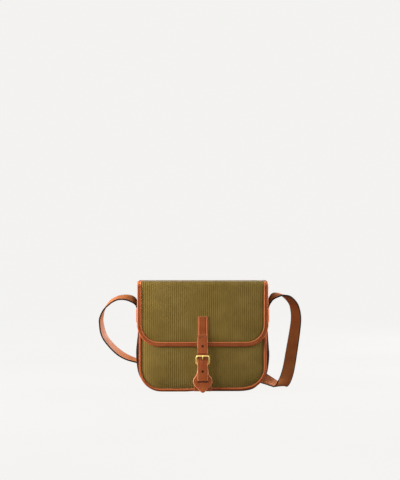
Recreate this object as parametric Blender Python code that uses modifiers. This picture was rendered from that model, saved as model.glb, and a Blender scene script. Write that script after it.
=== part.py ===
"""A small canvas and leather shoulder bag with a front flap and a buckled strap.

Origin: the middle of the body's footprint, on the surface that it stands on. +Z is up, the front faces -Y and
+X is to the right of someone looking at the front. Metres.
"""

import math

import bmesh
import bpy
from mathutils import Matrix, Vector

MM = 0.001
GAP = 0.3 * MM  # air left between pieces that touch
REACH = 40 * MM  # how far a cutter runs past what it cuts

# Body
BODY_HALF_WIDTH = 112.5 * MM  # over the piping
BODY_BOTTOM = 2.5 * MM  # underside of the piping
BODY_TOP = 187 * MM
BODY_CORNER = 40 * MM
FRONT_FACE = -32.5 * MM  # outer face of the front canvas
BACK_FACE = 32.5 * MM
CANVAS = 1.6 * MM
PIPING_WIDTH = 5 * MM
PIPING_PROUD = 0.4 * MM
PIPING_DEPTH = 4.3 * MM
MOUTH_BINDING_HEIGHT = 9 * MM
CORNER_STEPS = 12

# Gusset: how far it bulges past the piping, at the bottom, high on the sides and at the fullest place
GUSSET_HALF_DEPTH = 28.3 * MM
GUSSET_FLAT = 22 * MM
GUSSET_BULGE_BOTTOM = 2.5 * MM
GUSSET_BULGE_HIGH = 1.9 * MM
GUSSET_BULGE_FULL = 6.4 * MM
GUSSET_FULL_HEIGHT = 65 * MM
GUSSET_FULL_SPREAD = 28 * MM

# Inside
LINING_HALF_WIDTH = 110.3 * MM
LINING_BOTTOM = 6.6 * MM
LINING_TOP = 184 * MM
LINING_CORNER = 37 * MM
LINING_HALF_DEPTH = 28.2 * MM
LINING = 0.8 * MM
BOARD_SIZE = (144 * MM, 50 * MM, 1.6 * MM)
BOARD_Z = 5.3 * MM
POCKET_SIZE = (130 * MM, 1.0 * MM, 92 * MM)
POCKET_Z = 112 * MM

# Flap
FLAP_HALF_WIDTH = 115 * MM
FLAP_BOTTOM = 80.4 * MM
FLAP_TOP = 195 * MM
FLAP_CORNER = 38.5 * MM
FLAP_BINDING = 8 * MM
FLAP_BINDING_THICK = 3.4 * MM
FLAP_INNER = -33.4 * MM  # inner face of the hanging part
FLAP_CANVAS_IN = 1.0 * MM  # the canvas lies this far out from the binding's inner face
FLAP_LINING = 0.7 * MM
ROOF_FRONT = -32.9 * MM
ROOF_BACK = 31.5 * MM
FOLD_AXIS = (FLAP_INNER - FLAP_BINDING_THICK, FLAP_TOP)  # y, z of the front fold
FLAP_AXIS = (33.5 * MM, FLAP_TOP - FLAP_BINDING_THICK - 0.1 * MM)  # y, z of the fold at the back

# Closure, from the sleeve down
SLEEVE_HALF_WIDTH = 8.7 * MM
SLEEVE = (95.95 * MM, 133.05 * MM)  # lower and upper end
SLEEVE_THICK = 1.8 * MM
STRAP_HALF_WIDTH = 9.28 * MM
STRAP_THICK = 2.0 * MM
CLOSURE_AXIS = (-38.9 * MM, 95.8 * MM)
STRAP_INNER_FACE = ((95.6, -37.3), (80.4, -38.2), (64.4, -39.2), (50.3, -40.0), (19.1, -40.0))  # z, y in mm
STRAP_HOLES = (81.2 * MM, 37.3 * MM)  # the free ones
STRAP_HOLE_RADIUS = 1.3 * MM
PRONG_SLOT = (48.6 * MM, 58.2 * MM)
PRONG_SLOT_HALF_WIDTH = 1.4 * MM

# Buckle
BUCKLE_AXIS = (-36.85 * MM, 50.3 * MM)  # y, z of the hinge bar
TOP_BAR = (-43.3 * MM, 64.4 * MM)
BUCKLE_WIRE = 1.25 * MM
BUCKLE_HALF_WIDTH = 10.95 * MM  # to the middle of the side rails
BUCKLE_CORNERS = (1.4 * MM, 2.4 * MM)  # at the hinge bar, at the top bar
PRONG_WIRE = 0.9 * MM
PRONG_PAST_BAR = 2.2 * MM

# Tab under the strap's tail
TAB_FACE = -39.7 * MM
TAB_THICK = 2.4 * MM
TAB_CURL_BORE = 1.45 * MM
TAB_CURL_WALL = 1.4 * MM
TAB_SLOT_HALF_WIDTH = 1.7 * MM
TAB_OUTLINE = ((9.2, 38), (10.6, 34), (13.6, 29), (16.6, 25), (17.35, 21), (16.2, 17), (10.2, 9), (4.2, 3.2), (0, 0.6))

# Patch and the magnets between it and the tab
PATCH_HALF_WIDTH = 15.4 * MM
PATCH = (0.8 * MM, 26.5 * MM)  # lower and upper end
PATCH_FACE = -34.8 * MM
PATCH_THICK = 1.6 * MM
MAGNET_RADIUS = 6.5 * MM
MAGNET_THICK = 0.8 * MM
MAGNET_Z = 18 * MM

# Shoulder strap and the patches that hold its ends
ANCHOR_Z = (112.8 * MM, 145.6 * MM)
ANCHOR_HALF_DEPTH = 17 * MM
ANCHOR_INNER = 114.95 * MM
ANCHOR_OUTER = 118.9 * MM
ANCHOR_WALL = 1.15 * MM
ANCHOR_SLOT_BOTTOM = 122 * MM
SHOULDER_WIDTH = 22 * MM
SHOULDER_THICK = 2.4 * MM
SHOULDER_SECTION = 12 * MM  # spacing of the loft's sections

# The shoulder strap's route from the left patch to the right one, in mm: where its middle runs, and the
# direction from its front edge to its rear edge.
SHOULDER_ROUTE = (
    ((-116.3, 0, 124), (0, 1, 0)),
    ((-116.3, 0, 142), (0, 1, 0)),
    ((-116.3, -0.1, 148), (0, 1, 0.05)),
    ((-118.8, -2.5, 156), (0, 0.9, 0.4)),
    ((-125, -3.5, 161.5), (0, 0.88, 0.46)),
    ((-134.5, -3, 164.6), (0, 0.93, 0.36)),
    ((-144, -1, 164.8), (0, 0.97, 0.26)),
    ((-154, 2.5, 162.4), (-0.03, 1, 0.22)),
    ((-166.2, 7, 155), (-0.12, 1, 0.13)),
    ((-176.8, 11, 142.3), (-0.03, 1, -0.08)),
    ((-181.8, 14, 128.2), (0.18, 1, -0.06)),
    ((-182.2, 17, 117.1), (0.2, 1, -0.03)),
    ((-180.2, 21, 103.5), (0.29, 1, 0.07)),
    ((-175.4, 26, 90.5), (0.26, 1, 0.14)),
    ((-166.3, 31, 77.5), (0.21, 1, 0.24)),
    ((-153.6, 37, 64.3), (0.15, 1, 0.34)),
    ((-139.5, 42, 54.8), (0.09, 1, 0.31)),
    ((-121.6, 47, 47.5), (0.02, 1, 0.2)),
    ((-96, 51, 38.5), (0, 1, 0)),
    ((-66, 53, 28), (0, 1, -0.6)),
    ((-32, 54, 17.5), (0, 0.5, -1)),
    ((4, 54, 12.2), (0, 0.08, -1)),
    ((34, 56, 11.6), (0, 0, -1)),
    ((58, 68, 11.6), (0, 0, -1)),
    ((66, 88, 11.6), (0, 0, -1)),
    ((54, 107, 11.6), (0, 0, -1)),
    ((28, 116, 11.6), (0, 0, -1)),
    ((-8, 118, 11.6), (0, 0, -1)),
    ((-40, 122, 11.6), (0, 0, -1)),
    ((-62, 136, 11.6), (0, 0, -1)),
    ((-66, 158, 11.6), (0, 0, -1)),
    ((-48, 176, 11.6), (0, 0, -1)),
    ((-18, 182, 11.6), (0, 0, -1)),
    ((20, 179, 11.6), (0, 0, -1)),
    ((58, 166, 11.6), (0, 0, -1)),
    ((86, 144, 11.6), (-0.05, 0, -1)),
    ((104, 119, 11.6), (-0.25, -0.1, -1)),
    ((115.5, 95, 7.9), (-0.75, -0.3, -0.59)),
    ((126, 70, 4.9), (-0.9, -0.3, -0.28)),
    ((133.5, 50, 3.4), (-0.93, -0.32, -0.15)),
    ((139, 37.5, 2.5), (-0.94, -0.32, -0.08)),
    ((143, 31.5, 5.2), (-0.96, -0.2, 0)),
    ((147, 29.5, 10.5), (-0.97, -0.08, 0.06)),
    ((151.2, 28.5, 20), (-0.98, 0.15, 0.05)),
    ((155.6, 26, 37.5), (-0.92, 0.38, 0)),
    ((159.9, 22, 64.8), (-0.89, 0.45, -0.04)),
    ((165.7, 17, 104.5), (-0.79, 0.61, -0.05)),
    ((167.6, 14, 128.4), (-0.73, 0.67, -0.11)),
    ((164.6, 11, 147.2), (-0.63, 0.76, -0.13)),
    ((159, 8, 157.6), (-0.44, 0.86, -0.26)),
    ((150.6, 4, 165.6), (-0.25, 0.93, -0.27)),
    ((141, 0, 169.6), (0.03, 1, 0.02)),
    ((132, -2.5, 169.4), (0, 0.95, 0.3)),
    ((124.4, -3.5, 166), (0, 0.88, 0.47)),
    ((118.8, -2.5, 157.5), (0, 0.9, 0.4)),
    ((116.3, -0.1, 148), (0, 1, 0.05)),
    ((116.3, 0, 142), (0, 1, 0)),
    ((116.3, 0, 124), (0, 1, 0)),
)

CANVAS_COLOUR = (0.178, 0.122, 0.032)
LEATHER_COLOUR = (0.296, 0.085, 0.024)
STRAP_COLOUR = (0.38, 0.15, 0.06)
GUSSET_COLOUR = (0.012, 0.010, 0.010)
LINING_COLOUR = (0.30, 0.24, 0.15)
BOARD_COLOUR = (0.10, 0.08, 0.06)
BRASS_COLOUR = (0.72, 0.47, 0.17)
STEEL_COLOUR = (0.5, 0.48, 0.44)


def new_collection(name):
    collection = bpy.data.collections.new(name)
    bpy.context.scene.collection.children.link(collection)
    return collection


def material(name, colour, roughness, metallic=0.0):
    made = bpy.data.materials.new(name)
    made.use_nodes = True
    shader = made.node_tree.nodes["Principled BSDF"]
    shader.inputs["Base Color"].default_value = (*colour, 1)
    shader.inputs["Roughness"].default_value = roughness
    shader.inputs["Metallic"].default_value = metallic
    return made


def add_piece(name, bm, colour, roughness=0.6, metallic=0.0, smooth=False):
    """Turns a bmesh into a named piece of the bag with its own material."""
    bmesh.ops.recalc_face_normals(bm, faces=bm.faces)
    mesh = bpy.data.meshes.new(name)
    bm.to_mesh(mesh)
    bm.free()
    if smooth:
        mesh.shade_smooth()
        mesh.set_sharp_from_angle(angle=math.radians(40))
    piece = bpy.data.objects.new(name, mesh)
    piece.data.materials.append(material(name, colour, roughness, metallic))
    BAG.objects.link(piece)
    return piece


def add_tool(name, bm):
    """A shape that only cuts or joins a piece."""
    bmesh.ops.recalc_face_normals(bm, faces=bm.faces)
    mesh = bpy.data.meshes.new(name)
    bm.to_mesh(mesh)
    bm.free()
    tool = bpy.data.objects.new(name, mesh)
    tool.hide_render = True
    tool.display_type = "WIRE"
    TOOLS.objects.link(tool)
    return tool


def boolean(piece, tool, operation):
    modifier = piece.modifiers.new(tool.name, "BOOLEAN")
    modifier.operation = operation
    modifier.solver = "EXACT"
    modifier.object = tool


def u_outline(half_width, bottom, top, radius):
    """(x, z) points from the left upper end, down round both lower corners and up to the right upper end."""
    points = [(-half_width, top)]
    for step in range(CORNER_STEPS + 1):
        angle = math.pi + step / CORNER_STEPS * math.pi / 2
        points.append((-half_width + radius * (1 + math.cos(angle)), bottom + radius * (1 + math.sin(angle))))
    return points + [(-x, z) for x, z in reversed(points)]


def extrude_y(outline, front, back):
    """A plate with this (x, z) outline, from y = front to y = back."""
    bm = bmesh.new()
    face = bm.faces.new([bm.verts.new((x, front, z)) for x, z in outline])
    extruded = bmesh.ops.extrude_face_region(bm, geom=[face])
    moved = [item for item in extruded["geom"] if isinstance(item, bmesh.types.BMVert)]
    bmesh.ops.translate(bm, verts=moved, vec=(0, back - front, 0))
    return bm


def extrude_x(outline, half_width):
    """A strip with this (y, z) side outline, from x = -half_width to half_width."""
    bm = bmesh.new()
    face = bm.faces.new([bm.verts.new((-half_width, y, z)) for y, z in outline])
    extruded = bmesh.ops.extrude_face_region(bm, geom=[face])
    moved = [item for item in extruded["geom"] if isinstance(item, bmesh.types.BMVert)]
    bmesh.ops.translate(bm, verts=moved, vec=(2 * half_width, 0, 0))
    return bm


def u_strip(outer, inner, front, back):
    """A band between two U outlines with the same number of points, from y = front to y = back."""
    bm = bmesh.new()
    outside = [bm.verts.new((x, front, z)) for x, z in outer]
    inside = [bm.verts.new((x, front, z)) for x, z in inner]
    faces = []
    for i in range(len(outer) - 1):
        faces.append(bm.faces.new((outside[i], outside[i + 1], inside[i + 1], inside[i])))
    extruded = bmesh.ops.extrude_face_region(bm, geom=faces)
    moved = [item for item in extruded["geom"] if isinstance(item, bmesh.types.BMVert)]
    bmesh.ops.translate(bm, verts=moved, vec=(0, back - front, 0))
    return bm


def block(low, high):
    bm = bmesh.new()
    bmesh.ops.create_cube(bm, size=1)
    low, high = Vector(low), Vector(high)
    bmesh.ops.scale(bm, verts=bm.verts, vec=high - low)
    bmesh.ops.translate(bm, verts=bm.verts, vec=(low + high) / 2)
    return bm


def rod(radius, middle, length, axis, segments=24):
    """A cylinder along "X" or "Y"."""
    bm = bmesh.new()
    turn = Matrix.Rotation(math.pi / 2, 4, "Y" if axis == "X" else "X")
    bmesh.ops.create_cone(
        bm, cap_ends=True, segments=segments, radius1=radius, radius2=radius, depth=length,
        matrix=Matrix.Translation(middle) @ turn,
    )
    return bm


def wire(name, points, radius, cyclic, sides, colour):
    """A round wire along points, as a curve with a bevel."""
    curve = bpy.data.curves.new(name, "CURVE")
    curve.dimensions = "3D"
    curve.bevel_depth = radius
    curve.bevel_resolution = sides
    curve.use_fill_caps = True
    spline = curve.splines.new("POLY")
    spline.points.add(len(points) - 1)
    for point, place in zip(spline.points, points):
        point.co = (*place, 1)
    spline.use_cyclic_u = cyclic
    piece = bpy.data.objects.new(name, curve)
    curve.materials.append(material(name, colour, 0.3, 1.0))
    BAG.objects.link(piece)
    return piece


def hinge(name, place, parent=None, tilt=0.0):
    """An empty on a joint's axis. Its pieces are parented to it."""
    pivot = bpy.data.objects.new(name, None)
    pivot.empty_display_size = 20 * MM
    BAG.objects.link(pivot)
    start = Vector((0, *place))
    PIVOTS[name] = Matrix.Translation(start) @ Matrix.Rotation(tilt, 4, "X")
    if parent:
        pivot.parent = bpy.data.objects[parent]
        pivot.matrix_local = PIVOTS[parent].inverted() @ PIVOTS[name]
    else:
        pivot.matrix_local = PIVOTS[name]


def hang(piece, pivot):
    """Parents a piece that is modelled in place to a joint's empty."""
    piece.parent = bpy.data.objects[pivot]
    piece.matrix_parent_inverse = PIVOTS[pivot].inverted()


def hinged_pieces():
    hinge("flap_hinge", FLAP_AXIS)
    hinge("flap_fold", FOLD_AXIS, "flap_hinge")
    hinge("closure_hinge", CLOSURE_AXIS, "flap_fold")
    tilt = math.atan2(BUCKLE_AXIS[0] - TOP_BAR[0], TOP_BAR[1] - BUCKLE_AXIS[1])
    hinge("buckle_hinge", BUCKLE_AXIS, "closure_hinge", tilt)


def body_panels():
    outer = u_outline(BODY_HALF_WIDTH, BODY_BOTTOM, BODY_TOP, BODY_CORNER)
    inner = u_outline(
        BODY_HALF_WIDTH - PIPING_WIDTH, BODY_BOTTOM + PIPING_WIDTH, BODY_TOP, BODY_CORNER - PIPING_WIDTH
    )
    edge = PIPING_WIDTH + GAP
    for name, face, into in (("front", FRONT_FACE, 1), ("back", BACK_FACE, -1)):
        top = BODY_TOP - (MOUTH_BINDING_HEIGHT + GAP if name == "front" else 0)
        sheet = u_outline(BODY_HALF_WIDTH - edge, BODY_BOTTOM + edge, top, BODY_CORNER - edge)
        add_piece(name + "_panel", extrude_y(sheet, face, face + into * CANVAS), CANVAS_COLOUR, 0.85)
        proud = face - into * PIPING_PROUD
        band = u_strip(outer, inner, proud, proud + into * PIPING_DEPTH)
        add_piece(name + "_piping", band, LEATHER_COLOUR, 0.5)
    add_piece(
        "front_top_binding",
        block(
            (-BODY_HALF_WIDTH + edge, FRONT_FACE - PIPING_PROUD, BODY_TOP - MOUTH_BINDING_HEIGHT),
            (BODY_HALF_WIDTH - edge, FRONT_FACE + CANVAS + PIPING_PROUD, BODY_TOP),
        ),
        LEATHER_COLOUR, 0.5,
    )


def gusset_bulge(normal, z, y):
    """How far the gusset stands out past the piping at height z and depth y."""
    fullness = math.exp(-(((z - GUSSET_FULL_HEIGHT) / GUSSET_FULL_SPREAD) ** 2))
    side = GUSSET_BULGE_HIGH + (GUSSET_BULGE_FULL - GUSSET_BULGE_HIGH) * fullness
    swell = normal[0] ** 2 * side + normal[1] ** 2 * GUSSET_BULGE_BOTTOM
    across = min(1.0, (GUSSET_HALF_DEPTH - abs(y)) / (GUSSET_HALF_DEPTH - GUSSET_FLAT))
    return swell * across * across * (3 - 2 * across)


def gusset():
    """The side and bottom band: a loft along the body's outline, thickened inwards."""
    corner = u_outline(BODY_HALF_WIDTH, BODY_BOTTOM, BODY_TOP - 1 * MM, BODY_CORNER)
    side_steps = 14
    left_top, left_end = corner[0], corner[1]
    path = []
    for step in range(side_steps):
        share = step / side_steps
        path.append(((left_top[0], left_top[1] + (left_end[1] - left_top[1]) * share), (-1, 0)))
    centre_z = BODY_BOTTOM + BODY_CORNER
    for x, z in corner[1:CORNER_STEPS + 2]:
        normal = Vector((x + BODY_HALF_WIDTH - BODY_CORNER, z - centre_z)).normalized()
        path.append(((x, z), tuple(normal)))
    path += [((-x, z), (-nx, nz)) for (x, z), (nx, nz) in reversed(path)]
    depths = [GUSSET_HALF_DEPTH * share for share in (-1, -0.92, -0.85, -0.77, 0.77, 0.85, 0.92, 1)]
    bm = bmesh.new()
    rows = []
    for (x, z), (nx, nz) in path:
        row = []
        for y in depths:
            out = gusset_bulge((nx, nz), z, y)
            row.append(bm.verts.new((x + nx * out, y, z + nz * out)))
        rows.append(row)
    for near, far in zip(rows, rows[1:]):
        for j in range(len(depths) - 1):
            bm.faces.new((near[j], near[j + 1], far[j + 1], far[j]))
    piece = add_piece("gusset", bm, GUSSET_COLOUR, 0.8, smooth=True)
    outward = piece.data.polygons[0].normal.x < 0
    wall = piece.modifiers.new("wall", "SOLIDIFY")
    wall.thickness = CANVAS
    wall.offset = -1 if outward else 1
    wall.use_even_offset = True


def inside():
    shell = u_outline(LINING_HALF_WIDTH, LINING_BOTTOM, LINING_TOP, LINING_CORNER)
    space = u_outline(
        LINING_HALF_WIDTH - LINING, LINING_BOTTOM + LINING, LINING_TOP + REACH, LINING_CORNER - LINING
    )
    piece = add_piece("lining", extrude_y(shell, -LINING_HALF_DEPTH, LINING_HALF_DEPTH), LINING_COLOUR, 0.9)
    hollow = LINING_HALF_DEPTH - LINING
    boolean(piece, add_tool("lining_space", extrude_y(space, -hollow, hollow)), "DIFFERENCE")
    width, depth, thick = BOARD_SIZE
    add_piece(
        "base_board",
        block((-width / 2, -depth / 2, BOARD_Z - thick / 2), (width / 2, depth / 2, BOARD_Z + thick / 2)),
        BOARD_COLOUR, 0.9,
    )
    width, thick, height = POCKET_SIZE
    back = hollow - GAP
    add_piece(
        "inner_pocket",
        block((-width / 2, back - thick, POCKET_Z - height / 2), (width / 2, back, POCKET_Z + height / 2)),
        LINING_COLOUR, 0.9,
    )


def flap_roof():
    inset = FLAP_HALF_WIDTH - FLAP_BINDING
    under = FLAP_TOP - FLAP_BINDING_THICK
    cloth = inset - GAP
    lining = block((-cloth, ROOF_FRONT, under), (cloth, ROOF_BACK, under + FLAP_LINING))
    canvas_z = under + FLAP_CANVAS_IN
    canvas = block((-cloth, ROOF_FRONT, canvas_z), (cloth, ROOF_BACK, canvas_z + CANVAS))
    pieces = [
        add_piece("flap_top_lining", lining, LINING_COLOUR, 0.9),
        add_piece("flap_top_canvas", canvas, CANVAS_COLOUR, 0.85),
    ]
    for name, side in (("left", -1), ("right", 1)):
        ends = sorted((side * inset, side * FLAP_HALF_WIDTH))
        band = block((ends[0], ROOF_FRONT, under), (ends[1], ROOF_BACK, FLAP_TOP))
        pieces.append(add_piece("flap_top_binding_" + name, band, LEATHER_COLOUR, 0.5))
    for piece in pieces:
        hang(piece, "flap_hinge")


def flap_front():
    top = FLAP_TOP - FLAP_BINDING_THICK - GAP
    edge = FLAP_BINDING + GAP
    outer = u_outline(FLAP_HALF_WIDTH, FLAP_BOTTOM, top, FLAP_CORNER)
    inner = u_outline(
        FLAP_HALF_WIDTH - FLAP_BINDING, FLAP_BOTTOM + FLAP_BINDING, top, FLAP_CORNER - FLAP_BINDING
    )
    cloth = u_outline(FLAP_HALF_WIDTH - edge, FLAP_BOTTOM + edge, top, FLAP_CORNER - edge)
    canvas_in = FLAP_INNER - FLAP_CANVAS_IN
    canvas_out = canvas_in - CANVAS
    sleeve_in = canvas_out - GAP
    sleeve = block(
        (-SLEEVE_HALF_WIDTH, sleeve_in - SLEEVE_THICK, SLEEVE[0]), (SLEEVE_HALF_WIDTH, sleeve_in, SLEEVE[1])
    )
    pieces = (
        add_piece("flap_front_lining", extrude_y(cloth, FLAP_INNER - FLAP_LINING, FLAP_INNER), LINING_COLOUR, 0.9),
        add_piece("flap_front_canvas", extrude_y(cloth, canvas_out, canvas_in), CANVAS_COLOUR, 0.85),
        add_piece(
            "flap_front_binding", u_strip(outer, inner, FLAP_INNER - FLAP_BINDING_THICK, FLAP_INNER),
            LEATHER_COLOUR, 0.5,
        ),
        add_piece("strap_sleeve", sleeve, LEATHER_COLOUR, 0.5),
    )
    for piece in pieces:
        hang(piece, "flap_fold")


def closure_strap():
    inner = [(y * MM, z * MM) for z, y in STRAP_INNER_FACE]
    outer = [(y - STRAP_THICK, z) for y, z in reversed(inner)]
    piece = add_piece("closure_strap", extrude_x(inner + outer, STRAP_HALF_WIDTH), LEATHER_COLOUR, 0.6)
    for number, z in enumerate(STRAP_HOLES):
        drill = rod(STRAP_HOLE_RADIUS, (0, TAB_FACE, z), REACH, "Y", 12)
        boolean(piece, add_tool("strap_hole_%d" % number, drill), "DIFFERENCE")
    slot = block(
        (-PRONG_SLOT_HALF_WIDTH, TAB_FACE - REACH, PRONG_SLOT[0]),
        (PRONG_SLOT_HALF_WIDTH, TAB_FACE + REACH, PRONG_SLOT[1]),
    )
    boolean(piece, add_tool("strap_prong_slot", slot), "DIFFERENCE")
    hang(piece, "closure_hinge")


def spade_tab():
    """The tab: a plate whose upper end curls round the buckle's hinge bar."""
    half = [(TAB_OUTLINE[0][0], BUCKLE_AXIS[1] / MM)] + list(TAB_OUTLINE)
    left = [(-x * MM, z * MM) for x, z in half]
    right = [(x * MM, z * MM) for x, z in reversed(half[:-1])]
    piece = add_piece("spade_tab", extrude_y(left + right, TAB_FACE, TAB_FACE + TAB_THICK), LEATHER_COLOUR, 0.55)
    middle = (0, *BUCKLE_AXIS)
    curl = rod(TAB_CURL_BORE + TAB_CURL_WALL, middle, 2 * half[0][0] * MM, "X")
    boolean(piece, add_tool("tab_curl", curl), "UNION")
    boolean(piece, add_tool("tab_bore", rod(TAB_CURL_BORE, middle, REACH, "X")), "DIFFERENCE")
    reach = TAB_CURL_BORE + TAB_CURL_WALL + 1 * MM
    slot = block(
        (-TAB_SLOT_HALF_WIDTH, BUCKLE_AXIS[0] - reach, BUCKLE_AXIS[1] - reach),
        (TAB_SLOT_HALF_WIDTH, BUCKLE_AXIS[0] + reach, BUCKLE_AXIS[1] + reach),
    )
    boolean(piece, add_tool("tab_slot", slot), "DIFFERENCE")
    hang(piece, "closure_hinge")


def magnet(name, y):
    disc = rod(MAGNET_RADIUS, (0, y, MAGNET_Z), MAGNET_THICK, "Y")
    return add_piece(name, disc, STEEL_COLOUR, 0.35, 1.0, smooth=True)


def patch_and_magnets():
    add_piece(
        "bottom_patch",
        block((-PATCH_HALF_WIDTH, PATCH_FACE, PATCH[0]), (PATCH_HALF_WIDTH, PATCH_FACE + PATCH_THICK, PATCH[1])),
        LEATHER_COLOUR, 0.5,
    )
    magnet("patch_magnet", PATCH_FACE - GAP - MAGNET_THICK / 2)
    hang(magnet("tab_magnet", TAB_FACE + TAB_THICK + GAP + MAGNET_THICK / 2), "closure_hinge")


def arc(centre, radius, start, end, steps):
    points = []
    for step in range(steps + 1):
        angle = math.radians(start + (end - start) * step / steps)
        points.append((centre[0] + radius * math.cos(angle), centre[1] + radius * math.sin(angle)))
    return points


def buckle():
    """The frame and prong, modelled upright about the hinge bar and tilted with the empty that holds them."""
    rise = math.dist(BUCKLE_AXIS, TOP_BAR)
    low, high = BUCKLE_CORNERS
    side = BUCKLE_HALF_WIDTH
    ring = arc((side - low, low), low, -90, 0, 4) + arc((side - high, rise - high), high, 0, 90, 5)
    ring += [(-x, z) for x, z in reversed(ring)]
    frame = wire("buckle_frame", [(x, 0, z) for x, z in ring], BUCKLE_WIRE, True, 3, BRASS_COLOUR)
    reach = BUCKLE_WIRE + PRONG_WIRE + 0.2 * MM
    hook = arc((0, 0), reach, 450, 180, 14)
    tip = rise + PRONG_PAST_BAR
    path = [(0, y, z) for y, z in hook] + [(0, -reach, tip * share) for share in (0.2, 0.4, 0.6, 0.8, 1)]
    prong = wire("buckle_prong", path, PRONG_WIRE, False, 3, BRASS_COLOUR)
    for piece in (frame, prong):
        piece.parent = bpy.data.objects["buckle_hinge"]


def strap_anchor(name, side):
    def span(inner, outer, low, high, half_depth):
        ends = sorted((side * inner, side * outer))
        return block((ends[0], -half_depth, low), (ends[1], half_depth, high))

    piece = add_piece(name, span(ANCHOR_INNER, ANCHOR_OUTER, *ANCHOR_Z, ANCHOR_HALF_DEPTH), LEATHER_COLOUR, 0.5)
    slot = span(
        ANCHOR_INNER - REACH, ANCHOR_OUTER - ANCHOR_WALL, ANCHOR_SLOT_BOTTOM, ANCHOR_Z[1] + REACH,
        SHOULDER_WIDTH / 2 + GAP,
    )
    boolean(piece, add_tool(name + "_slot", slot), "DIFFERENCE")


def catmull(before, start, end, after, t):
    """A point of the smooth curve through start and end."""
    return 0.5 * (
        2 * start + (end - before) * t + (2 * before - 5 * start + 4 * end - after) * t * t
        + (3 * start - before - 3 * end + after) * t ** 3
    )


def shoulder_strap():
    """A flat strap: a loft of rectangles along the route, each turned to lie as the leather lies there."""
    places = [Vector(place) * MM for place, _ in SHOULDER_ROUTE]
    acrosses = [Vector(across).normalized() for _, across in SHOULDER_ROUTE]
    stations = []
    for i in range(len(places) - 1):
        picked = [max(0, i - 1), i, i + 1, min(len(places) - 1, i + 2)]
        steps = max(1, round((places[i + 1] - places[i]).length / SHOULDER_SECTION))
        for step in range(steps):
            t = step / steps
            place = catmull(*(places[k] for k in picked), t)
            stations.append((place, acrosses[i].lerp(acrosses[i + 1], t)))
    stations.append((places[-1], acrosses[-1]))
    bm = bmesh.new()
    rings = []
    for i, (place, across) in enumerate(stations):
        ahead = stations[min(i + 1, len(stations) - 1)][0] - stations[max(i - 1, 0)][0]
        along = ahead.normalized()
        across = (across - along * across.dot(along)).normalized()
        face = along.cross(across)
        ring = []
        for u, v in ((-1, -1), (1, -1), (1, 1), (-1, 1)):
            ring.append(bm.verts.new(place + across * u * SHOULDER_WIDTH / 2 + face * v * SHOULDER_THICK / 2))
        rings.append(ring)
    for near, far in zip(rings, rings[1:]):
        for k in range(4):
            bm.faces.new((near[k], near[(k + 1) % 4], far[(k + 1) % 4], far[k]))
    bm.faces.new(rings[0])
    bm.faces.new(rings[-1])
    add_piece("shoulder_strap", bm, STRAP_COLOUR, 0.5, smooth=True)


for old in list(bpy.data.objects):
    bpy.data.objects.remove(old, do_unlink=True)
BAG = new_collection("shoulder_bag")
TOOLS = new_collection("cutters")
PIVOTS = {}

hinged_pieces()
body_panels()
gusset()
inside()
flap_roof()
flap_front()
closure_strap()
spade_tab()
patch_and_magnets()
buckle()
strap_anchor("strap_anchor_left", -1)
strap_anchor("strap_anchor_right", 1)
shoulder_strap()
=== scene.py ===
import math

import bmesh
import bpy
import numpy as np
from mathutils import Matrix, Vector, noise


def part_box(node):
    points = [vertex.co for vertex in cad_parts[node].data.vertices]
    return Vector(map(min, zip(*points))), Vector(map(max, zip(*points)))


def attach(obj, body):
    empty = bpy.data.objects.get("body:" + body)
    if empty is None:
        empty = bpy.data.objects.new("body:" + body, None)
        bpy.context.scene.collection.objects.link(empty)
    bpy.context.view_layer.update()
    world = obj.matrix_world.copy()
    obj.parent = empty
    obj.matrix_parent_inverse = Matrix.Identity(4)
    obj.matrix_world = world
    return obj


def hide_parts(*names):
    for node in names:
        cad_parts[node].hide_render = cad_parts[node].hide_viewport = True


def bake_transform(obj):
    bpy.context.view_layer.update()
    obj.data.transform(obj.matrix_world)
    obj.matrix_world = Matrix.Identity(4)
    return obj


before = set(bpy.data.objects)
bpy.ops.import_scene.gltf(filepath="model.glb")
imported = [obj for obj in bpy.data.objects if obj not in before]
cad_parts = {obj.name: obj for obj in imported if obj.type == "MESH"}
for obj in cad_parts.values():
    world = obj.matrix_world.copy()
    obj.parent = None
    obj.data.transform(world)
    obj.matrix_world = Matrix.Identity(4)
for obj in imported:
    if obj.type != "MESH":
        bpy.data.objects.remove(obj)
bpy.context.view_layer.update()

MM = 0.001
WELD_REACH = 2e-6


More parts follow.
